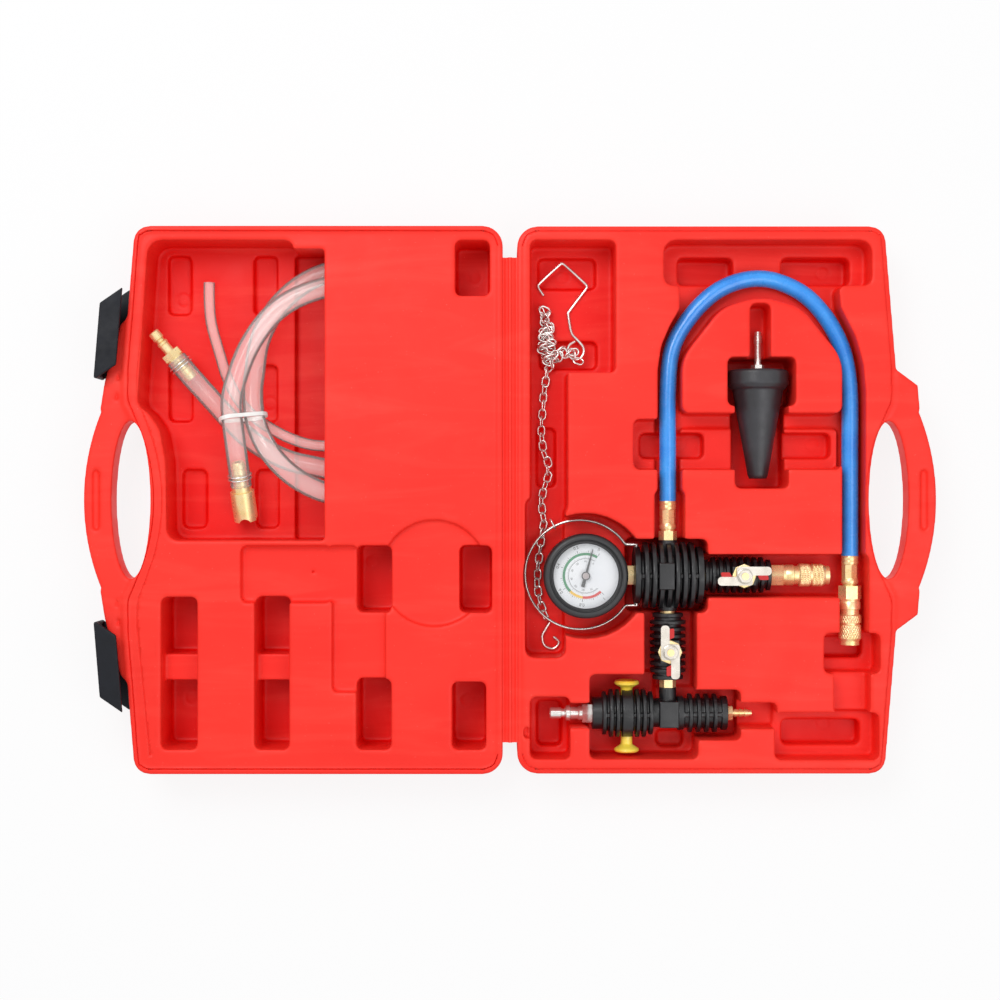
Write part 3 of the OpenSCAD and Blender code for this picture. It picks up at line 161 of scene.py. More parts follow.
class Shader:
    """A principled material whose colour, roughness and relief come from noise in the object's own space."""

    def __init__(self, name, rough, metal=0.0, **sockets):
        self.mat = bpy.data.materials.new(name)
        self.tree = node_tree(self.mat)
        self.out = self.new("OutputMaterial")
        self.bsdf = self.new("BsdfPrincipled")
        self.bsdf.inputs["Roughness"].default_value = rough
        self.bsdf.inputs["Metallic"].default_value = metal
        for key, value in sockets.items():
            self.bsdf.inputs[key.replace("_", " ")].default_value = value
        self.link(self.bsdf.outputs[0], self.out.inputs[0])
        self.where = self.new("TexCoord").outputs["Object"]

    def new(self, kind):
        return self.tree.nodes.new("ShaderNode" + kind)

    def link(self, a, b):
        self.tree.links.new(a, b)

    def noise(self, scale, detail=3.0, rough=0.55, stretch=None, distort=0.0):
        n = self.new("TexNoise")
        n.inputs["Scale"].default_value = scale
        n.inputs["Detail"].default_value = detail
        n.inputs["Roughness"].default_value = rough
        n.inputs["Distortion"].default_value = distort
        where = self.where
        if stretch:
            m = self.new("Mapping")
            m.inputs["Scale"].default_value = stretch
            self.link(where, m.inputs["Vector"])
            where = m.outputs[0]
        self.link(where, n.inputs["Vector"])
        return n.outputs[0]

    def ramp(self, fac, low, high, a, b):
        """a below low, b above high; a and b are colours or greys."""
        r = self.new("ValToRGB")
        r.color_ramp.elements[0].position = low
        r.color_ramp.elements[1].position = high
        r.color_ramp.elements[0].color = a if isinstance(a, tuple) else (a, a, a, 1)
        r.color_ramp.elements[1].color = b if isinstance(b, tuple) else (b, b, b, 1)
        self.link(fac, r.inputs[0])
        return r.outputs[0]

    def blend(self, fac, a, b):
        m = self.new("MixRGB")
        for value, socket in ((fac, m.inputs[0]), (a, m.inputs[1]), (b, m.inputs[2])):
            if isinstance(value, (int, float, tuple)):
                socket.default_value = value
            else:
                self.link(value, socket)
        return m.outputs[0]

    def colour(self, socket):
        self.link(socket, self.bsdf.inputs["Base Color"])
        return self

    def rough(self, socket):
        self.link(socket, self.bsdf.inputs["Roughness"])
        return self

    def bump(self, height, strength, distance):
        b = self.new("Bump")
        b.inputs["Strength"].default_value = strength
        b.inputs["Distance"].default_value = distance
        self.link(height, b.inputs["Height"])
        self.link(b.outputs[0], self.bsdf.inputs["Normal"])
        return self

    def height(self, low, high):
        """0 at the lower height of the object's own space and 1 at the higher one."""
        parts = self.new("SeparateXYZ")
        self.link(self.where, parts.inputs[0])
        r = self.new("MapRange")
        r.inputs["From Min"].default_value = low
        r.inputs["From Max"].default_value = high
        self.link(parts.outputs["Z"], r.inputs["Value"])
        return r.outputs[0]

    def pointiness(self):
        return self.new("NewGeometry").outputs["Pointiness"]


def case_red():
    s = Shader("case_red", 0.46, Specular_IOR_Level=0.24)
    # the darker second red is painted shade for the pocket floors; the pale third red is for the flow streaks and
    # the lightened edges
    base, painted_pocket_shade, pale = linear("FA3428"), linear("E80A06"), linear("FF5244")
    mottle_and_pocket_shade = s.ramp(s.noise(9, 4, 0.6, distort=0.6), 0.32, 0.68, linear("F42C22"), base)
    # painted shade: from 40 mm down to 6 mm the red turns to the darker red, standing in for the shade on the
    # pocket floors
    mottle_and_pocket_shade = s.blend(s.height(0.006, 0.040), painted_pocket_shade, mottle_and_pocket_shade)
    streak = s.ramp(s.noise(6, 5, 0.62, (1.0, 7.0, 1.0), 1.2), 0.48, 0.74, 0.0, 0.3)
    tone = s.blend(streak, mottle_and_pocket_shade, pale)
    # sharp outer edges lighten towards the pale red: partly rubbed wear, partly a painted highlight
    wear_and_highlight_edge = s.ramp(s.pointiness(), 0.53, 0.62, 0.0, 0.35)
    tone = s.blend(wear_and_highlight_edge, tone, pale)
    speck = s.ramp(s.noise(820, 1.0, 0.4), 0.77, 0.80, 0.0, 0.4)
    s.colour(s.blend(speck, tone, linear("FF7A70")))
    s.rough(s.ramp(s.noise(40, 4), 0.3, 0.7, 0.40, 0.54))
    return s.bump(s.noise(900, 3), 0.12, 0.0004).mat


def black_plastic(name, low, high, rough, grain, depth, shine=0.5):
    s = Shader(name, rough, Specular_IOR_Level=shine)
    tone = s.ramp(s.noise(70, 4), 0.3, 0.7, linear(low), linear(high))
    # sharp outer edges lighten to grey: partly rubbed wear, partly a painted highlight
    wear_and_highlight_edge = s.ramp(s.pointiness(), 0.53, 0.62, 0.0, 0.5)
    s.colour(s.blend(wear_and_highlight_edge, tone, linear("4A4A4E")))
    s.rough(s.ramp(s.noise(150, 3), 0.3, 0.7, rough - 0.08, rough + 0.1))
    return s.bump(s.noise(grain, 2), 0.25, depth).mat


def metal(name, low, high, rough, brushed=(1, 1, 1), share=1.0):
    s = Shader(name, rough, share)
    s.colour(s.ramp(s.noise(90, 4, 0.5), 0.3, 0.7, linear(low), linear(high)))
    s.rough(s.ramp(s.noise(260, 4, 0.6, brushed), 0.3, 0.7, rough - 0.05, rough + 0.07))
    return s.bump(s.noise(1500, 2, 0.5, brushed), 0.05, 0.0002).mat


def plastic(name, low, high, rough, coat=0.0, scale=80):
    s = Shader(name, rough, Coat_Weight=coat)
    s.colour(s.ramp(s.noise(scale, 4), 0.3, 0.7, linear(low), linear(high)))
    s.rough(s.ramp(s.noise(200, 3), 0.3, 0.7, max(0.03, rough - 0.05), rough + 0.08))
    return s.bump(s.noise(1200, 2), 0.06, 0.0002).mat


def clear_vinyl():
    s = Shader("hose_clear", 0.2, Specular_IOR_Level=0.3)
    s.colour(s.ramp(s.noise(30, 4), 0.3, 0.7, linear("FFF0EA"), linear("FFFAF8")))
    s.rough(s.ramp(s.noise(90, 3), 0.3, 0.7, 0.16, 0.28))
    facing = s.new("LayerWeight")
    facing.inputs["Blend"].default_value = 0.35
    s.link(s.ramp(facing.outputs["Facing"], 0.1, 0.9, 0.24, 0.34), s.bsdf.inputs["Alpha"])
    s.bump(s.noise(500, 2), 0.05, 0.0003)
    gloss = s.new("BsdfGlossy")
    gloss.inputs["Roughness"].default_value = 0.12
    shine = s.new("Fresnel")
    shine.inputs["IOR"].default_value = 1.36
    mix = s.new("MixShader")
    s.link(shine.outputs[0], mix.inputs[0])
    s.link(s.bsdf.outputs[0], mix.inputs[1])
    s.link(gloss.outputs[0], mix.inputs[2])
    rays = s.new("LightPath")
    clear = s.new("BsdfTransparent")
    passed = s.new("MixShader")
    s.link(s.ramp(rays.outputs["Is Shadow Ray"], 0.0, 1.0, 0.0, 0.8), passed.inputs[0])
    s.link(mix.outputs[0], passed.inputs[1])
    s.link(clear.outputs[0], passed.inputs[2])
    s.link(passed.outputs[0], s.out.inputs[0])
    return s.mat


def lens_glass():
    s = Shader("lens", 0.04, Specular_IOR_Level=0.8, Alpha=0.08)
    s.colour(s.ramp(s.noise(20, 2), 0.3, 0.7, linear("EEF4F8"), linear("FFFFFF")))
    return s.rough(s.ramp(s.noise(120, 3), 0.4, 0.8, 0.03, 0.10)).mat


def all_materials():
    return {
        "case_red": case_red(),
        "latch_black": black_plastic("latch_black", "090B12", "10131B", 0.5, 1600, 0.0003, 0.22),
        "nylon_black": black_plastic("nylon_black", "101012", "1C1C1F", 0.36, 1200, 0.0003),
        "rubber_black": black_plastic("rubber_black", "232326", "303035", 0.4, 900, 0.0003),
        "brass": metal("brass", "E6C98A", "F6E0B0", 0.28, share=0.6),
        "nickel": metal("nickel", "CFCCC8", "EAE8E4", 0.2, share=0.78),
        "lever": metal("lever", "ADA69B", "CBC5BC", 0.28, share=0.75),
        "boot": black_plastic("boot", "141416", "1E1E21", 0.42, 900, 0.0003),
        "hub": plastic("hub", "A89C9C", "BEB4B4", 0.4),
        "steel": metal("steel", "A8A8AA", "CFCFD2", 0.3, (1, 1, 12)),
        "dial_white": plastic("dial_white", "E6E9EE", "F4F5F8", 0.45, 0, 40),
        "lens": lens_glass(),
        "needle_black": plastic("needle_black", "0C0C0D", "1A1A1C", 0.4),
        "hose_blue": plastic("hose_blue", "1A88EA", "34A2FC", 0.24, 0.4, 45),
        "tab_red": plastic("tab_red", "B80A08", "D4120E", 0.42),
        "spool_yellow": plastic("spool_yellow", "FFD838", "FFEA66", 0.28, 0.3),
        "hose_clear": clear_vinyl(),
        "tie_white": plastic("tie_white", "E9E7E4", "FBFAF8", 0.35),
        "dial_red": plastic("dial_red", "D0201A", "DC2E26", 0.5),
        "dial_amber": plastic("dial_amber", "EDB414", "F6C82C", 0.5),
        "dial_green": plastic("dial_green", "157A48", "228C58", 0.5),
        "dial_ink": plastic("dial_ink", "101216", "1E2126", 0.5),
    }


# Mesh helpers; sizes in millimetres
def piece(name, verts, faces, slot, body, node=None, smooth=True, look=None):
    mesh = bpy.data.meshes.new(name)
    mesh.from_pydata([tuple(MM * c for c in v) for v in verts], [], faces)
    mesh.validate()
    return finish_piece(name, mesh, slot, body, node, smooth, look)


def finish_piece(name, mesh, slot, body, node=None, smooth=True, look=None):
    obj = bpy.data.objects.new(name, mesh)
    scene.collection.objects.link(obj)
    mesh.materials.clear()
    mesh.materials.append(MATS[look or slot])
    if smooth:
        mesh.shade_smooth()
        mesh.set_sharp_from_angle(angle=math.radians(40))
    if body:
        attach(obj, body)
    for n in ([node] if isinstance(node, str) else node or []):
        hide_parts(n)
    return obj


def curve(p, n):
    """Smooth curve through a route's points, as the solids have it."""
    p = [np.array(q, float) for q in p]
    out = []
    for i in range(len(p) - 1):
        a, b, c, d = p[max(0, i - 1)], p[i], p[i + 1], p[min(len(p) - 1, i + 2)]
        for k in range(n):
            t = k / n
            bend = (2 * a - 5 * b + 4 * c - d) + t * (3 * (b - c) + d - a)
            out.append(b + 0.5 * t * ((c - a) + t * bend))
    return out + [p[-1]]


def frames(path):
    """Tangent and two steady normals at each point of a path."""
    p = np.array(path)
    t = np.gradient(p, axis=0)
    t /= np.linalg.norm(t, axis=1)[:, None]
    u = np.cross(UP if abs(t[0][2]) < 0.9 else (1, 0, 0), t[0])
    out = []
    for q in t:
        u = u - q * (u @ q)
        u = u / np.linalg.norm(u)
        out.append((q, u, np.cross(q, u)))
    return p, out


def sweep(path, radius, sides):
    """Verts and faces of a round rod along a path."""
    p, fr = frames(path)
    verts, faces = [], []
    for q, (_, u, v) in zip(p, fr):
        for k in range(sides):
            a = TAU * k / sides
            verts.append(q + radius * (u * math.cos(a) + v * math.sin(a)))
    for i in range(len(p) - 1):
        for k in range(sides):
            a, b = i * sides + k, i * sides + (k + 1) % sides
            faces.append((a, b, b + sides, a + sides))
    last = (len(p) - 1) * sides
    faces.append(tuple(range(sides - 1, -1, -1)))
    faces.append(tuple(range(last, last + sides)))
    return verts, faces


def placed(place, axis):
    turn = Vector(UP).rotation_difference(Vector(axis)).to_matrix()
    return lambda r, a, z: turn @ Vector((r * math.cos(a), r * math.sin(a), z)) + Vector(place)


def lathe(profile, place, axis, sides=64, ring=False):
    """Verts and faces of a turned solid; profile is (radius, height), end to end or right round for a ring."""
    at = placed(place, axis)
    verts = [at(r, TAU * k / sides, z) for r, z in profile for k in range(sides)]
    m = len(profile)
    faces = []
    for i in range(m if ring else m - 1):
        for k in range(sides):
            a, b = i * sides + k, i * sides + (k + 1) % sides
            c, d = (i + 1) % m * sides + (k + 1) % sides, (i + 1) % m * sides + k
            faces.append((a, b, c, d))
    if not ring:
        faces.append(tuple(range(sides - 1, -1, -1)))
        faces.append(tuple(range((m - 1) * sides, m * sides)))
    return verts, faces


def turned(rule, length, inner, place, axis, steps=70, sides=144):
    """Verts and faces of a sleeve with the outer radius rule(height, angle) and a plain bore."""
    at = placed(place, axis)
    rows = [(length * i / steps, None) for i in range(steps + 1)] + [(length, inner), (0, inner)]
    verts = []
    for z, bore in rows:
        for k in range(sides):
            a = TAU * k / sides
            verts.append(at(bore or rule(z, a), a, z))
    m = len(rows)
    faces = []
    for i in range(m):
        for k in range(sides):
            j = (k + 1) % sides
            faces.append((i * sides + k, i * sides + j, (i + 1) % m * sides + j, (i + 1) % m * sides + k))
    return verts, faces


def evaluated(obj):
    deps = bpy.context.evaluated_depsgraph_get()
    return bpy.data.meshes.new_from_object(obj.evaluated_get(deps))


def moulded(node, name, voxel, passes, keep, relief=None, slots=None):
    """The node's shape with the soft edges of a moulding, as a fresh mesh."""
    obj = bpy.data.objects.new("work", nodes[node].data.copy())
    scene.collection.objects.link(obj)
    m = obj.modifiers.new("remesh", "REMESH")
    m.mode = "VOXEL"
    m.voxel_size = voxel * MM
    m = obj.modifiers.new("smooth", "SMOOTH")
    m.factor = 0.5
    m.iterations = passes
    mesh = evaluated(obj)
    if relief:
        count = len(mesh.vertices)
        co = np.empty(count * 3, np.float32)
        no = np.empty(count * 3, np.float32)
        mesh.vertices.foreach_get("co", co)
        mesh.vertices.foreach_get("normal", no)
        co = relief(co.reshape(-1, 3).astype(float), no.reshape(-1, 3))
        mesh.vertices.foreach_set("co", co.astype(np.float32).ravel())
    obj.modifiers.clear()
    obj.data = mesh
    total = sum(len(p.vertices) - 2 for p in mesh.polygons)
    if total > keep:
        m = obj.modifiers.new("thin", "DECIMATE")
        m.ratio = keep / total
        mesh = evaluated(obj)
    if slots:
        obj.modifiers.clear()
        obj.data = mesh
        m = obj.modifiers.new("slots", "BOOLEAN")
        m.operation = "DIFFERENCE"
        m.solver = "MANIFOLD"
        m.object = slots
        mesh = evaluated(obj)
        bpy.data.objects.remove(slots)
    bpy.data.objects.remove(obj)
    mesh.name = name
    finish_piece(name, mesh, node_slot[node], node_body[node], node, False)
    mesh.shade_smooth()


# Cords: the routes of the solids, in millimetres
def lift(points, z):
    return [(x, y, z) for x, y in points]


BLUE_D, SUCTION_D, DRAIN_D = 11.8, 15.0, 8.0
LOW, HIGH = 17.8, 33.4
BLUE = lift([
    (TOOL_X, -0.7), (TOOL_X, 11.1), (TOOL_X, 40), (TOOL_X, 75), (113.5, 105), (124.5, 126), (140.5, 143),
    (157, 152), (174, 155), (190, 152), (207, 143), (221, 128), (231, 110), (236, 92), (END_X, 70), (END_X, 30),
    (END_X, -27.2), (END_X, -39),
], TOOL_Z)


def climb(y):
    t = min(1, max(0, (105 - y) / 75))
    return LOW + (HIGH - LOW) * t * t * (3 - 2 * t)


def suction_route():
    route = [(x, y, LOW + z) for x, y, z in (
        (-233.5, 98.5, 12), (-224, 87, 9.5), (-207.5, 67.5, 0.6), (-190, 48.5, 0), (-174, 36.5, 0),
        (-155, 27.5, 0))]
    for k in range(21):
        a = -110 + 14.5 * k
        x, y = -107 + 73 * math.cos(math.radians(a)), 91 + 73 * math.sin(math.radians(a))
        route.append((x, y, LOW if a < 90 else climb(y)))
    for k in range(19):
        a = 180 + 15 * k
        x, y = -107 + 74 * math.cos(math.radians(a)), 76 + 74 * math.sin(math.radians(a))
        route.append((x, y, climb(y) if a < 270 else HIGH))
    route += [(x, y, HIGH + z) for x, y, z in (
        (-131, 147.5, 0), (-153, 139, 0), (-169, 126, 0), (-182.5, 106, 0), (-191, 84, 0.4), (-194, 70, 1.4),
        (-193.5, 57, 2), (-192, 44, 1.2), (-190.5, 30, -1.2), (-189.3, 18, -4.5), (-188.5, 10, -7))]
    return route


def drain_route():
    floor, pitch, ring = 14.3, 8.8, 33
    route = lift([
        (-213, 154), (-213, 142), (-211.5, 125), (-206, 105), (-200, 86), (-192, 71), (-182, 59.5), (-169, 50.5),
        (-155, 43.5), (-140, 39), (-123, 38.5), (-106, 41.5), (-89, 47)], floor)
    for k in range(41):
        a = math.radians(290 + k * 22.5)
        route.append((-84 + ring * math.cos(a), 85 + ring * math.sin(a), floor + pitch * k / 16))
    return route


def metres(path):
    return [tuple(MM * float(c) for c in q) for q in path]


def cords():
    blue = curve(BLUE, 6)
    verts, faces = sweep(blue, BLUE_D / 2, 32)
    hose = piece("blue_hose_cover", verts, faces, "hose_blue", "base", "blue_hose")
    metres(BLUE[:1])[0]
    metres(blue)
    thick = curve(suction_route(), 4)
    verts, faces = sweep(thick, SUCTION_D / 2, 28)
    hose = piece("suction_hose_tube", verts, faces, "hose_clear", "lid", "suction_hose")
    barb = [(2.4, -1), (4.4, -1), (4.4, 1)]
    for k in range(4):
        barb += [(5.3, 1.2 + 4 * k), (4.5, 4.8 + 4 * k)]
    barb += [(4.2, 17.4), (2.4, 17.4)]
    ends = [nodes[n] for n in ("hose_plug", "hose_foot", "hose_clamps", "cable_tie")]
    for name, end, inside in (("plug_barb", thick[0], thick[4]), ("foot_barb", thick[-1], thick[-6])):
        verts, faces = lathe(barb, end, inside - end, 40, True)
        ends.append(piece(name, verts, faces, "brass", "lid"))
    metres(thick[:1])[0]
    metres(thick)
    thin = curve(drain_route(), 4)
    verts, faces = sweep(thin, DRAIN_D / 2, 24)
    hose = piece("drain_hose_tube", verts, faces, "hose_clear", "lid", "drain_hose")
    metres(thin[:1])[0]
    metres(thin)


# Case: blow-moulded halves with soft edges, slightly uneven panels and faint tack marks.
# The lines of the rim's slots are for the upper half of the base; the rest mirrors them.
TACKS = [
    (-233.1, 142.2), (-171.5, 68.6), (-98.7, -43.9), (-227.3, -141.3), (-30.9, -142.8), (-25.2, 159), (37.9, 159),
    (223.5, 162), (221.6, -158.8), (120.7, 39.8), (214.9, 39.8),
]
RIM_LINE = [
    (8.5, 175.5), (11.6, 182.7), (19, 185.7), (30, 185.7), (150, 185.7), (240, 185.7),
    (249, 185.7), (254.4, 183.2), (256.6, 178), (260, 134), (263.3, 94), (263.5, 84), (263.5, 70), (259.3, 58.8),
    (251.9, 39.9), (247.4, 20.2), (245.9, 0),
]
SIDE_LINE = [(248.5, 176), (252, 140), (256.6, 96), (257.6, 84), (256.8, 70), (252.6, 58), (245.6, 38), (241.6, 19),
             (240.2, 0)]
RIM_LOW, CUT_TOP = 44.5, 49


def case_relief(co, no):
    x, y = co[:, 0] / MM, co[:, 1] / MM
    wave = (0.10 * np.sin(x / 23.0 + 0.7 * np.sin(y / 41.0))
            + 0.08 * np.sin(y / 29.0 + 1.3 + 0.8 * np.sin(x / 37.0))
            + 0.05 * np.sin((x + y) / 13.0) + 0.05 * np.sin((x - 1.7 * y) / 17.0))
    # by the rim the waves only dip, so that the halves meet when shut
    wave = np.where(co[:, 2] > RIM_LOW * MM, wave - 0.28, wave)
    rise = np.where(np.abs(no[:, 2]) > 0.6, wave, 0.0)
    for tx, ty in TACKS:
        d = np.hypot(x - tx, y - ty)
        rise = rise - np.where(no[:, 2] > 0.9, 0.35 * np.exp(-(((d - 4.6) / 0.8) ** 2)), 0.0)
    co[:, 2] += rise * MM * np.where(co[:, 2] < 1.5 * MM, 0.0, 1.0)
    return co


def slot_line(points, side, low, high, half, verts, faces):
    """A thin upright wall along a line and its mirror image below the middle of the case."""
    line = curve([(side * x, y, 0) for x, y in points] + [(side * x, -y, 0) for x, y in points[-2::-1]], 6)
    p, fr = frames(line)
    base = len(verts)
    for q, (t, _, _) in zip(p, fr):
        n = np.array((-t[1], t[0], 0))
        for k, z in ((-half, low), (half, low), (half, high), (-half, high)):
            verts.append((q[0] + k * n[0], q[1] + k * n[1], z))
    m = len(p)
    for i in range(m - 1):
        for k in range(4):
            a, b = base + 4 * i + k, base + 4 * i + (k + 1) % 4
            faces.append((a, a + 4, b + 4, b))
    end = base + 4 * (m - 1)
    faces.append((base, base + 1, base + 2, base + 3))
    faces.append((end + 3, end + 2, end + 1, end))


def cutter(side):
    """What is cut out of a half: the slot round its rim and, in the lid, the inner slot and the vent hole."""
    verts, faces = [], []
    slot_line(RIM_LINE, side, 44.0, CUT_TOP, 0.4, verts, faces)
    if side < 0:
        slot_line(SIDE_LINE, side, 45.1, CUT_TOP, 0.3, verts, faces)
        rod, lids = sweep([(-136.8, -50, 36), (-136.8, -50, CUT_TOP)], 0.9, 16)
        faces += [tuple(len(verts) + k for k in f) for f in lids]
        verts += [tuple(v) for v in rod]
    mesh = bpy.data.meshes.new("slots")
    mesh.from_pydata([tuple(MM * c for c in v) for v in verts], [], faces)
    bm = bmesh.new()
    bm.from_mesh(mesh)
    bmesh.ops.recalc_face_normals(bm, faces=bm.faces)
    bm.to_mesh(mesh)
    bm.free()
    obj = bpy.data.objects.new("slots", mesh)
    scene.collection.objects.link(obj)
    return obj


def case():
    voxel = 1.1
    passes = 6
    for node, name, side in (("base_case", "base_shell", 1), ("lid_case", "lid_shell", -1)):
        moulded(node, name, voxel, passes, 178000, case_relief, cutter(side))


def hinge_strip():
    """The living hinge: a thin strip with a bead along its middle and a thin line on each side of it."""
    face, under, bead, reach = 44.4, 43.2, 1.5, 167.5
    top = []
    for k in range(41):
        x = -5.3 + 10.6 * k / 40
        z = face - 0.75 * math.exp(-(((abs(x) - 3.3) / 0.55) ** 2))
        if abs(x) < bead:
            z = max(z, face + math.sqrt(bead ** 2 - x * x))
        top.append((x, z))
    ring = top + [(x, under) for x, _ in reversed(top[::2])]
    ys = np.linspace(-reach, reach, 120)
    verts = [(x, y, z) for y in ys for x, z in ring]
    m = len(ring)
    faces = [(i * m + k, i * m + (k + 1) % m, (i + 1) * m + (k + 1) % m, (i + 1) * m + k)
             for i in range(len(ys) - 1) for k in range(m)]
    faces += [tuple(range(m - 1, -1, -1)), tuple(range((len(ys) - 1) * m, len(ys) * m))]
    obj = piece("hinge_strip", verts, faces, "case_red", None, "living_hinge")
    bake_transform(obj)


# Dial printing; angles are clockwise from the top, from the end of the scale back to its start
DIAL_Z = 42.0
SCALE_START, SCALE_END = 392, 136
SCALE = SCALE_START - SCALE_END


def polar(r, cw):
    a = math.radians(90 - cw)
    return GAUGE[0] + r * math.cos(a), GAUGE[1] + r * math.sin(a)


def arc_band(r0, r1, start, end, z0, z1, verts, faces):
    n = max(2, int(abs(end - start) / 3))
    base = len(verts)
    for k in range(n + 1):
        cw = start + (end - start) * k / n
        for r, z in ((r0, z0), (r1, z0), (r1, z1), (r0, z1)):
            verts.append((*polar(r, cw), z))
    for k in range(n):
        for j in range(4):
            a, b = base + 4 * k + j, base + 4 * k + (j + 1) % 4
            faces.append((a, a + 4, b + 4, b))
    faces.append((base, base + 1, base + 2, base + 3))
    end_at = base + 4 * n
    faces.append((end_at + 3, end_at + 2, end_at + 1, end_at))


def dial_text(items):
    meshes = []
    for text, r, cw, size in items:
        data = bpy.data.curves.new("figures", "FONT")
        data.body = text
        data.size = size * MM
        data.extrude = 0.02 * MM
        data.align_x = "CENTER"
        data.align_y = "CENTER"
        obj = bpy.data.objects.new("figures", data)
        scene.collection.objects.link(obj)
        bpy.context.view_layer.update()
        mesh = evaluated(obj)
        x, y = polar(r, cw)
        mesh.transform(Matrix.Translation((x * MM, y * MM, (DIAL_Z + 0.03) * MM))
                       @ Matrix.Rotation(math.radians(-cw), 4, "Z"))
        meshes.append(mesh)
        bpy.data.objects.remove(obj)
    bm = bmesh.new()
    for mesh in meshes:
        bm.from_mesh(mesh)
    out = bpy.data.meshes.new("dial_numbers")
    bm.to_mesh(out)
    bm.free()
    finish_piece("dial_numbers", out, "dial_ink", "base", None, False)


def dial():
    low, high = DIAL_Z - 0.02, DIAL_Z + 0.05
    for name, start, end in (("dial_green", 225, SCALE_START), ("dial_amber", 188, 225),
                             ("dial_red", SCALE_END, 188)):
        verts, faces = [], []
        arc_band(14.2, 16.0, start, end, low, high, verts, faces)
        piece(name + "_band", verts, faces, name, "base", smooth=False)
    verts, faces = [], []
    for k in range(51):
        cw = SCALE_START - SCALE * k / 50
        long = 2.0 if k % 10 == 0 else 1.3 if k % 5 == 0 else 0.8
        half = 0.55 if k % 5 == 0 else 0.3
        arc_band(16.2, 16.2 + long, cw - half, cw + half, low, high, verts, faces)
    arc_band(11.7, 11.9, SCALE_END, SCALE_START, low, high, verts, faces)
    for k in range(77):
        cw = SCALE_START - SCALE * k / 76
        long = 1.5 if k % 10 == 0 else 0.7
        arc_band(11.9, 11.9 + long, cw - 0.35, cw + 0.35, low, high, verts, faces)
    piece("dial_ticks", verts, faces, "dial_ink", "base", smooth=False)
    items = [(t, 20.2, SCALE_START - SCALE * v, 3.0) for t, v in (
        ("0", 0.02), ("0.2", 0.2), ("0.4", 0.4), ("0.6", 0.6), ("0.8", 0.8), ("1", 0.98))]
    items += [(str(v), 9.9, SCALE_START - SCALE * v / 76, 2.0) for v in range(0, 80, 10)]
    dial_text(items)
    cap = [(2.9, 0), (2.9, 0.25), (2.55, 0.3), (2.5, 0.15), (2.3, 0.15), (2.2, 0.5), (1.2, 0.62), (0.3, 0.64)]
    verts, faces = lathe(cap, (*GAUGE, 44.6), UP, 48)
    piece("needle_cap", verts, faces, "steel", "needle", look="hub")
    verts, faces = lathe([(2.3, 44.7), (3.0, 44.7), (3.0, 45.05), (2.3, 45.05)], (*GAUGE, 0), UP, 48, True)
    piece("needle_ring", verts, faces, "needle_black", "needle")


# Wire pieces with round sections; the bail is a loop round the gauge that slopes down from its pins
BAIL_X, BAIL_CX, BAIL_R, LEG_Y, BAIL_SLOPE = 88.65, 49.2, 38.4, 21.4, 10.1 / 77.85


def bail_at(x, y):
    return x, TOOL_Y + y, TOOL_Z - BAIL_SLOPE * (BAIL_X - x)


def wires():
    hook_z = 12.8
    hook = [(24, 145, 0), (21.3, 149, 0), (20.2, 151.5, 0), (21.8, 154.2, 0), (35.2, 166.6, 0), (37.3, 167.6, 0),
            (39.4, 166.4, 0), (53, 154, 0), (54.6, 151.6, 0), (53.6, 149, 0), (42.4, 134.2, 0), (41.6, 131.6, 0),
            (42, 128, 0), (44, 118.4, 0), (48, 113.7, 0), (51.8, 109.2, 0), (52.6, 105, 0), (50.4, 101, 0),
            (46.4, 99.6, 0), (42.6, 101.7, 0), (41.2, 106, 0), (42.4, 110, 0.8), (46.4, 112.4, 2.2)]
    verts, faces = sweep(curve([(x, y, hook_z + z) for x, y, z in hook], 6), 1.0, 20)
    piece("chain_hook_wire", verts, faces, "nickel", "base", "chain_hook")
    small = [(28.5, -87), (25.5, -91.5), (23, -97), (25, -103.5), (31, -105.5), (35, -101), (31, -97)]
    verts, faces = sweep(curve(lift(small, hook_z), 8), 1.0, 20)
    piece("s_hook_wire", verts, faces, "nickel", "base", "s_hook")
    half = [bail_at(BAIL_X, LEG_Y), bail_at(BAIL_X - 5.5, LEG_Y)]
    for k in range(17):
        a = math.radians(34.87 + 145.13 * k / 16)
        half.append(bail_at(BAIL_CX + BAIL_R * math.cos(a), BAIL_R * math.sin(a)))
    other = [(x, 2 * TOOL_Y - y, z) for x, y, z in half[-2::-1]]
    pins = [[(BAIL_X, TOOL_Y + s * y, TOOL_Z) for y in (16.6, 19.6)] for s in (1, -1)]
    loop = [np.array(q) for q in pins[0]] + curve(half + other, 4)
    loop += [np.array(q) for q in reversed(pins[1])]
    verts, faces = sweep(loop, 0.9, 18)
    piece("bail_wire", verts, faces, "nickel", "bail", "bail")


# Chain: oval links laid along a route, closely heaped at the hook
LINK_PITCH = 5.8
LINK_ROLLS = (18, -62)


def link_at(centre, along, roll, verts, faces):
    long, wide, wire, turns, sides = 8.8, 6.4, 0.7, 20, 10
    d = along / np.linalg.norm(along)
    flat = np.cross(UP, d)
    flat /= np.linalg.norm(flat)
    s = flat * math.cos(roll) + np.cross(d, flat) * math.sin(roll)
    n = np.cross(d, s)
    half, bend, base = (long - wide) / 2, wide / 2 - wire, len(verts)
    for k in range(turns):
        a = TAU * (k + 0.5) / turns
        out = d * math.cos(a) + s * math.sin(a)
        q = centre + d * math.copysign(half, math.cos(a)) + bend * out
        for j in range(sides):
            b = TAU * j / sides
            verts.append(q + wire * (out * math.cos(b) + n * math.sin(b)))
    for k in range(turns):
        for j in range(sides):
            a, b = base + k * sides, base + (k + 1) % turns * sides
            faces.append((a + j, b + j, b + (j + 1) % sides, a + (j + 1) % sides))


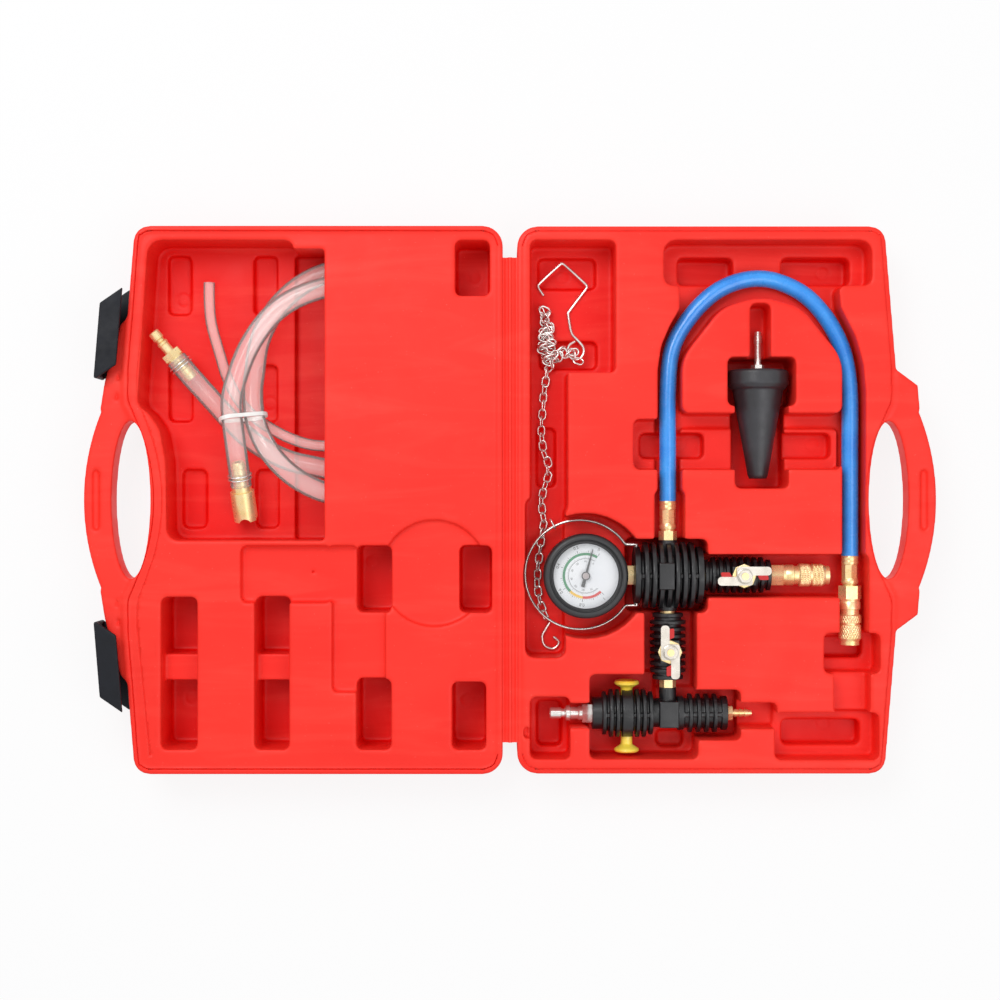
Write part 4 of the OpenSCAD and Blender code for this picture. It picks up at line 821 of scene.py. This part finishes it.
def chain(name, node, route, shake, seed):
    rng = np.random.default_rng(seed)
    path = np.array(curve(route, 10))
    run = np.concatenate(([0], np.cumsum(np.linalg.norm(np.diff(path, axis=0), axis=1))))
    count = max(1, round(run[-1] / LINK_PITCH))
    marks = np.array([[np.interp(run[-1] * k / count, run, path[:, c]) for c in range(3)]
                      for k in range(count + 1)])
    verts, faces = [], []
    for k in range(count):
        a, b = marks[k], marks[k + 1]
        roll = math.radians(LINK_ROLLS[k % 2] + rng.uniform(-12, 12))
        link_at((a + b) / 2 + rng.uniform(-shake, shake, 3) * (1, 1, 0.5), b - a, roll, verts, faces)
    piece(name, verts, faces, "nickel", "base", node)


def chains():
    lie = 14.6
    heap = [(51, 97.5, 0), (45, 100, 0), (46, 107, 0.5), (40, 101, 1), (36, 108, 2), (34, 99, 1), (28, 99, 0),
            (23, 104, 0), (31, 109, 2), (20.5, 110, 1), (30, 115, 2), (21, 118, 1), (31, 121.5, 2), (22, 126, 1),
            (28, 132, 1), (21.5, 135, 2.5), (25, 128, 3.5), (29, 121, 4), (20.5, 116, 3.5), (32, 112, 4.5),
            (21, 107, 4), (33, 103, 4), (24, 99, 3), (32, 96, 2), (27, 95, 1)]
    strand = [(26.5, 91), (25, 81.5), (23.8, 71), (22.8, 57), (22.6, 46), (23.8, 35), (26.8, 27), (27.4, 18),
              (24.4, 10.5), (22.6, 2), (23, -8), (24.5, -15)]
    chain("chain_heap", "chain_long", [(x, y, lie + z) for x, y, z in heap] + lift(strand, lie), 0.5, 5)
    short = [(24.5, -15), (22.5, -26), (21, -38), (19.5, -52), (20, -66), (22.5, -76), (26, -84)]
    chain("chain_tail", "chain_short", lift(short, lie), 0.3, 9)
    a = math.radians(118)
    held = np.array(bail_at(BAIL_CX + BAIL_R * math.cos(a), BAIL_R * math.sin(a)))
    out = np.array((math.cos(a), math.sin(a), 0))
    verts, faces = [], []
    link_at(held + 1.9 * out, out, math.pi / 2, verts, faces)
    piece("bail_link", verts, faces, "nickel", "bail", "bail_links")


# Brass fittings: knurled sleeves, crimped ferrules and the bonnets under the levers
def knurl(z, a, pitch, turns):
    u, v = turns * a / 2 + math.pi * z / pitch, turns * a / 2 - math.pi * z / pitch
    return min(abs(math.sin(u)), abs(math.sin(v))) ** 0.7


def sleeve(length, groove, turns, pitch):
    def rule(z, a):
        if z < 0.8:
            return 7.2 + z
        if z > length - 1.8:
            return 7.6 - 0.55 * (z - length + 1.8)
        if abs(z - groove) < 0.7:
            return 7.2
        top = 8.0 if z < groove else 7.85
        return top - 0.5 + 0.5 * knurl(z, a, pitch, turns)
    return rule


def ferrule(z, a):
    if z < 1.2:
        return 4.8
    if z < 5:
        return 5.45 + 0.4 * math.sin(math.pi * (z - 1.2) / 3.8)
    if z < 15:
        step = math.pi / 4
        return min(5.75, 5.2 / math.cos(a % step - step / 2))
    return 5.7 + 0.2 * abs(math.sin(math.pi * (z - 15) / 3))


def fittings():
    sleeve_len, right, down = 18.5, (1, 0, 0), (0, -1, 0)
    for name, place, axis, groove, turns, pitch in (
            ("right_coupler_sleeve", (201.75, TOOL_Y, TOOL_Z), right, 8.6, 38, 2.4),
            ("end_coupler_sleeve", (END_X, -80, TOOL_Z), down, 6.6, 26, 3.4)):
        rule = sleeve(sleeve_len, groove, turns, pitch)
        verts, faces = turned(rule, sleeve_len, 6.56, place, axis, 84, 190)
        piece(name + "_form", verts, faces, "brass", node_body[name], name)
    for name, place in (("ferrule_top", (TOOL_X, -21.7, TOOL_Z)), ("ferrule_end", (END_X, -60, TOOL_Z))):
        verts, faces = turned(ferrule, 21, 2.0, place, (0, 1, 0), 60, 96)
        piece(name + "_form", verts, faces, "brass", node_body[name], name)
    bonnet = [(2.9, 45.3), (8.3, 45.3), (8.3, 45.95), (7.8, 46.15), (2.9, 46.15)]
    hub = [(2.6, 47.95), (5.4, 47.95), (5.4, 48.5), (5.0, 48.75), (2.6, 48.75)]
    for side, x, y in (("right", 161.75, TOOL_Y), ("lower", TOOL_X, -105)):
        verts, faces = lathe(bonnet, (x, y, 0), UP, 8, True)
        piece(side + "_valve_bonnet", verts, faces, "brass", "base", smooth=False)
        verts, faces = lathe(hub, (x, y, 0), UP, 48, True)
        piece(side + "_valve_washer", verts, faces, "nickel", node_body[side + "_valve_lever"], look="lever")
    collar = [(6.4, 9.0), (7.3, 9.0), (7.3, 9.6), (7.0, 10.1), (7.0, 11.0), (7.3, 11.5), (7.3, 16.2), (6.9, 16.6),
              (6.4, 16.6)]
    for side, place, axis in (("right", (181.75, TOOL_Y, TOOL_Z), right), ("end", (END_X, -60, TOOL_Z), down)):
        verts, faces = lathe(collar, place, axis, 64, True)
        piece(side + "_coupler_collar", verts, faces, "brass", "base")


def knobs():
    profile = [(0.4, -21.7), (4.4, -21.7), (5.2, -22.8), (6.4, -23.2), (8.0, -22.7), (8.7, -21.5), (8.3, -20.2),
               (6.6, -19.2), (4.7, -18.2), (4.0, -17.2), (4.0, 21.4), (4.8, 22.3), (6.8, 23.6), (8.4, 24.7),
               (8.8, 25.8), (8.2, 26.8), (6.6, 27.3), (5.2, 26.9), (4.4, 25.9), (0.4, 25.9)]
    verts, faces = lathe(profile, (81.7, -149, TOOL_Z), (0, -1, 0), 56)
    piece("ejector_spool_form", verts, faces, "spool_yellow", node_body["ejector_spool"], "ejector_spool")


def boot():
    ring = [(0.4, 18), (27.3, 18), (28.8, 19.5), (28.8, 38), (29.3, 39.2), (29.3, 46), (28.9, 47.6), (27.9, 48.7),
            (26.5, 49.2), (25.2, 48.9), (24.7, 48.2), (24.3, 48.1), (23.9, 48.6), (23.3, 48.7), (22.7, 48.2),
            (22.4, 47.3), (26.0, 47.25), (26.0, 20.0), (0.4, 20.0)]
    verts, faces = lathe(ring, (*GAUGE, 0), UP, 96, True)
    piece("gauge_boot_form", verts, faces, "rubber_black", "base", "gauge_boot", look="boot")


# Moulded black pieces, with the rounded fins of a casting
def black_parts():
    for node, voxel, passes in (
            ("cross_manifold", 0.42, 2), ("right_valve_body", 0.34, 2), ("lower_valve_body", 0.34, 2),
            ("ejector_body", 0.4, 2), ("muffler", 0.36, 2), ("latch_upper", 0.5, 4), ("latch_lower", 0.5, 4),
            ("rubber_cone", 0.6, 4)):
        moulded(node, node + "_form", voxel, passes, 60000)


def node_look(name):
    if name.endswith(("_lever", "_nut")):
        return "lever"
    return "brass" if name.endswith("_stem") else node_slot[name]


def dress_nodes():
    for name, obj in nodes.items():
        for s in obj.material_slots:
            s.material = MATS[node_look(name)]
        if node_slot[name] in ("brass", "nickel", "tab_red"):
            m = obj.modifiers.new("edges", "BEVEL")
            m.width = 0.22 * MM
            m.segments = 2
            m.limit_method = "ANGLE"
            m.angle_limit = math.radians(35)


MATS = all_materials()
camera()
stage()
case()
hinge_strip()
dial()
wires()
chains()
fittings()
cords()
knobs()
boot()
black_parts()
dress_nodes()
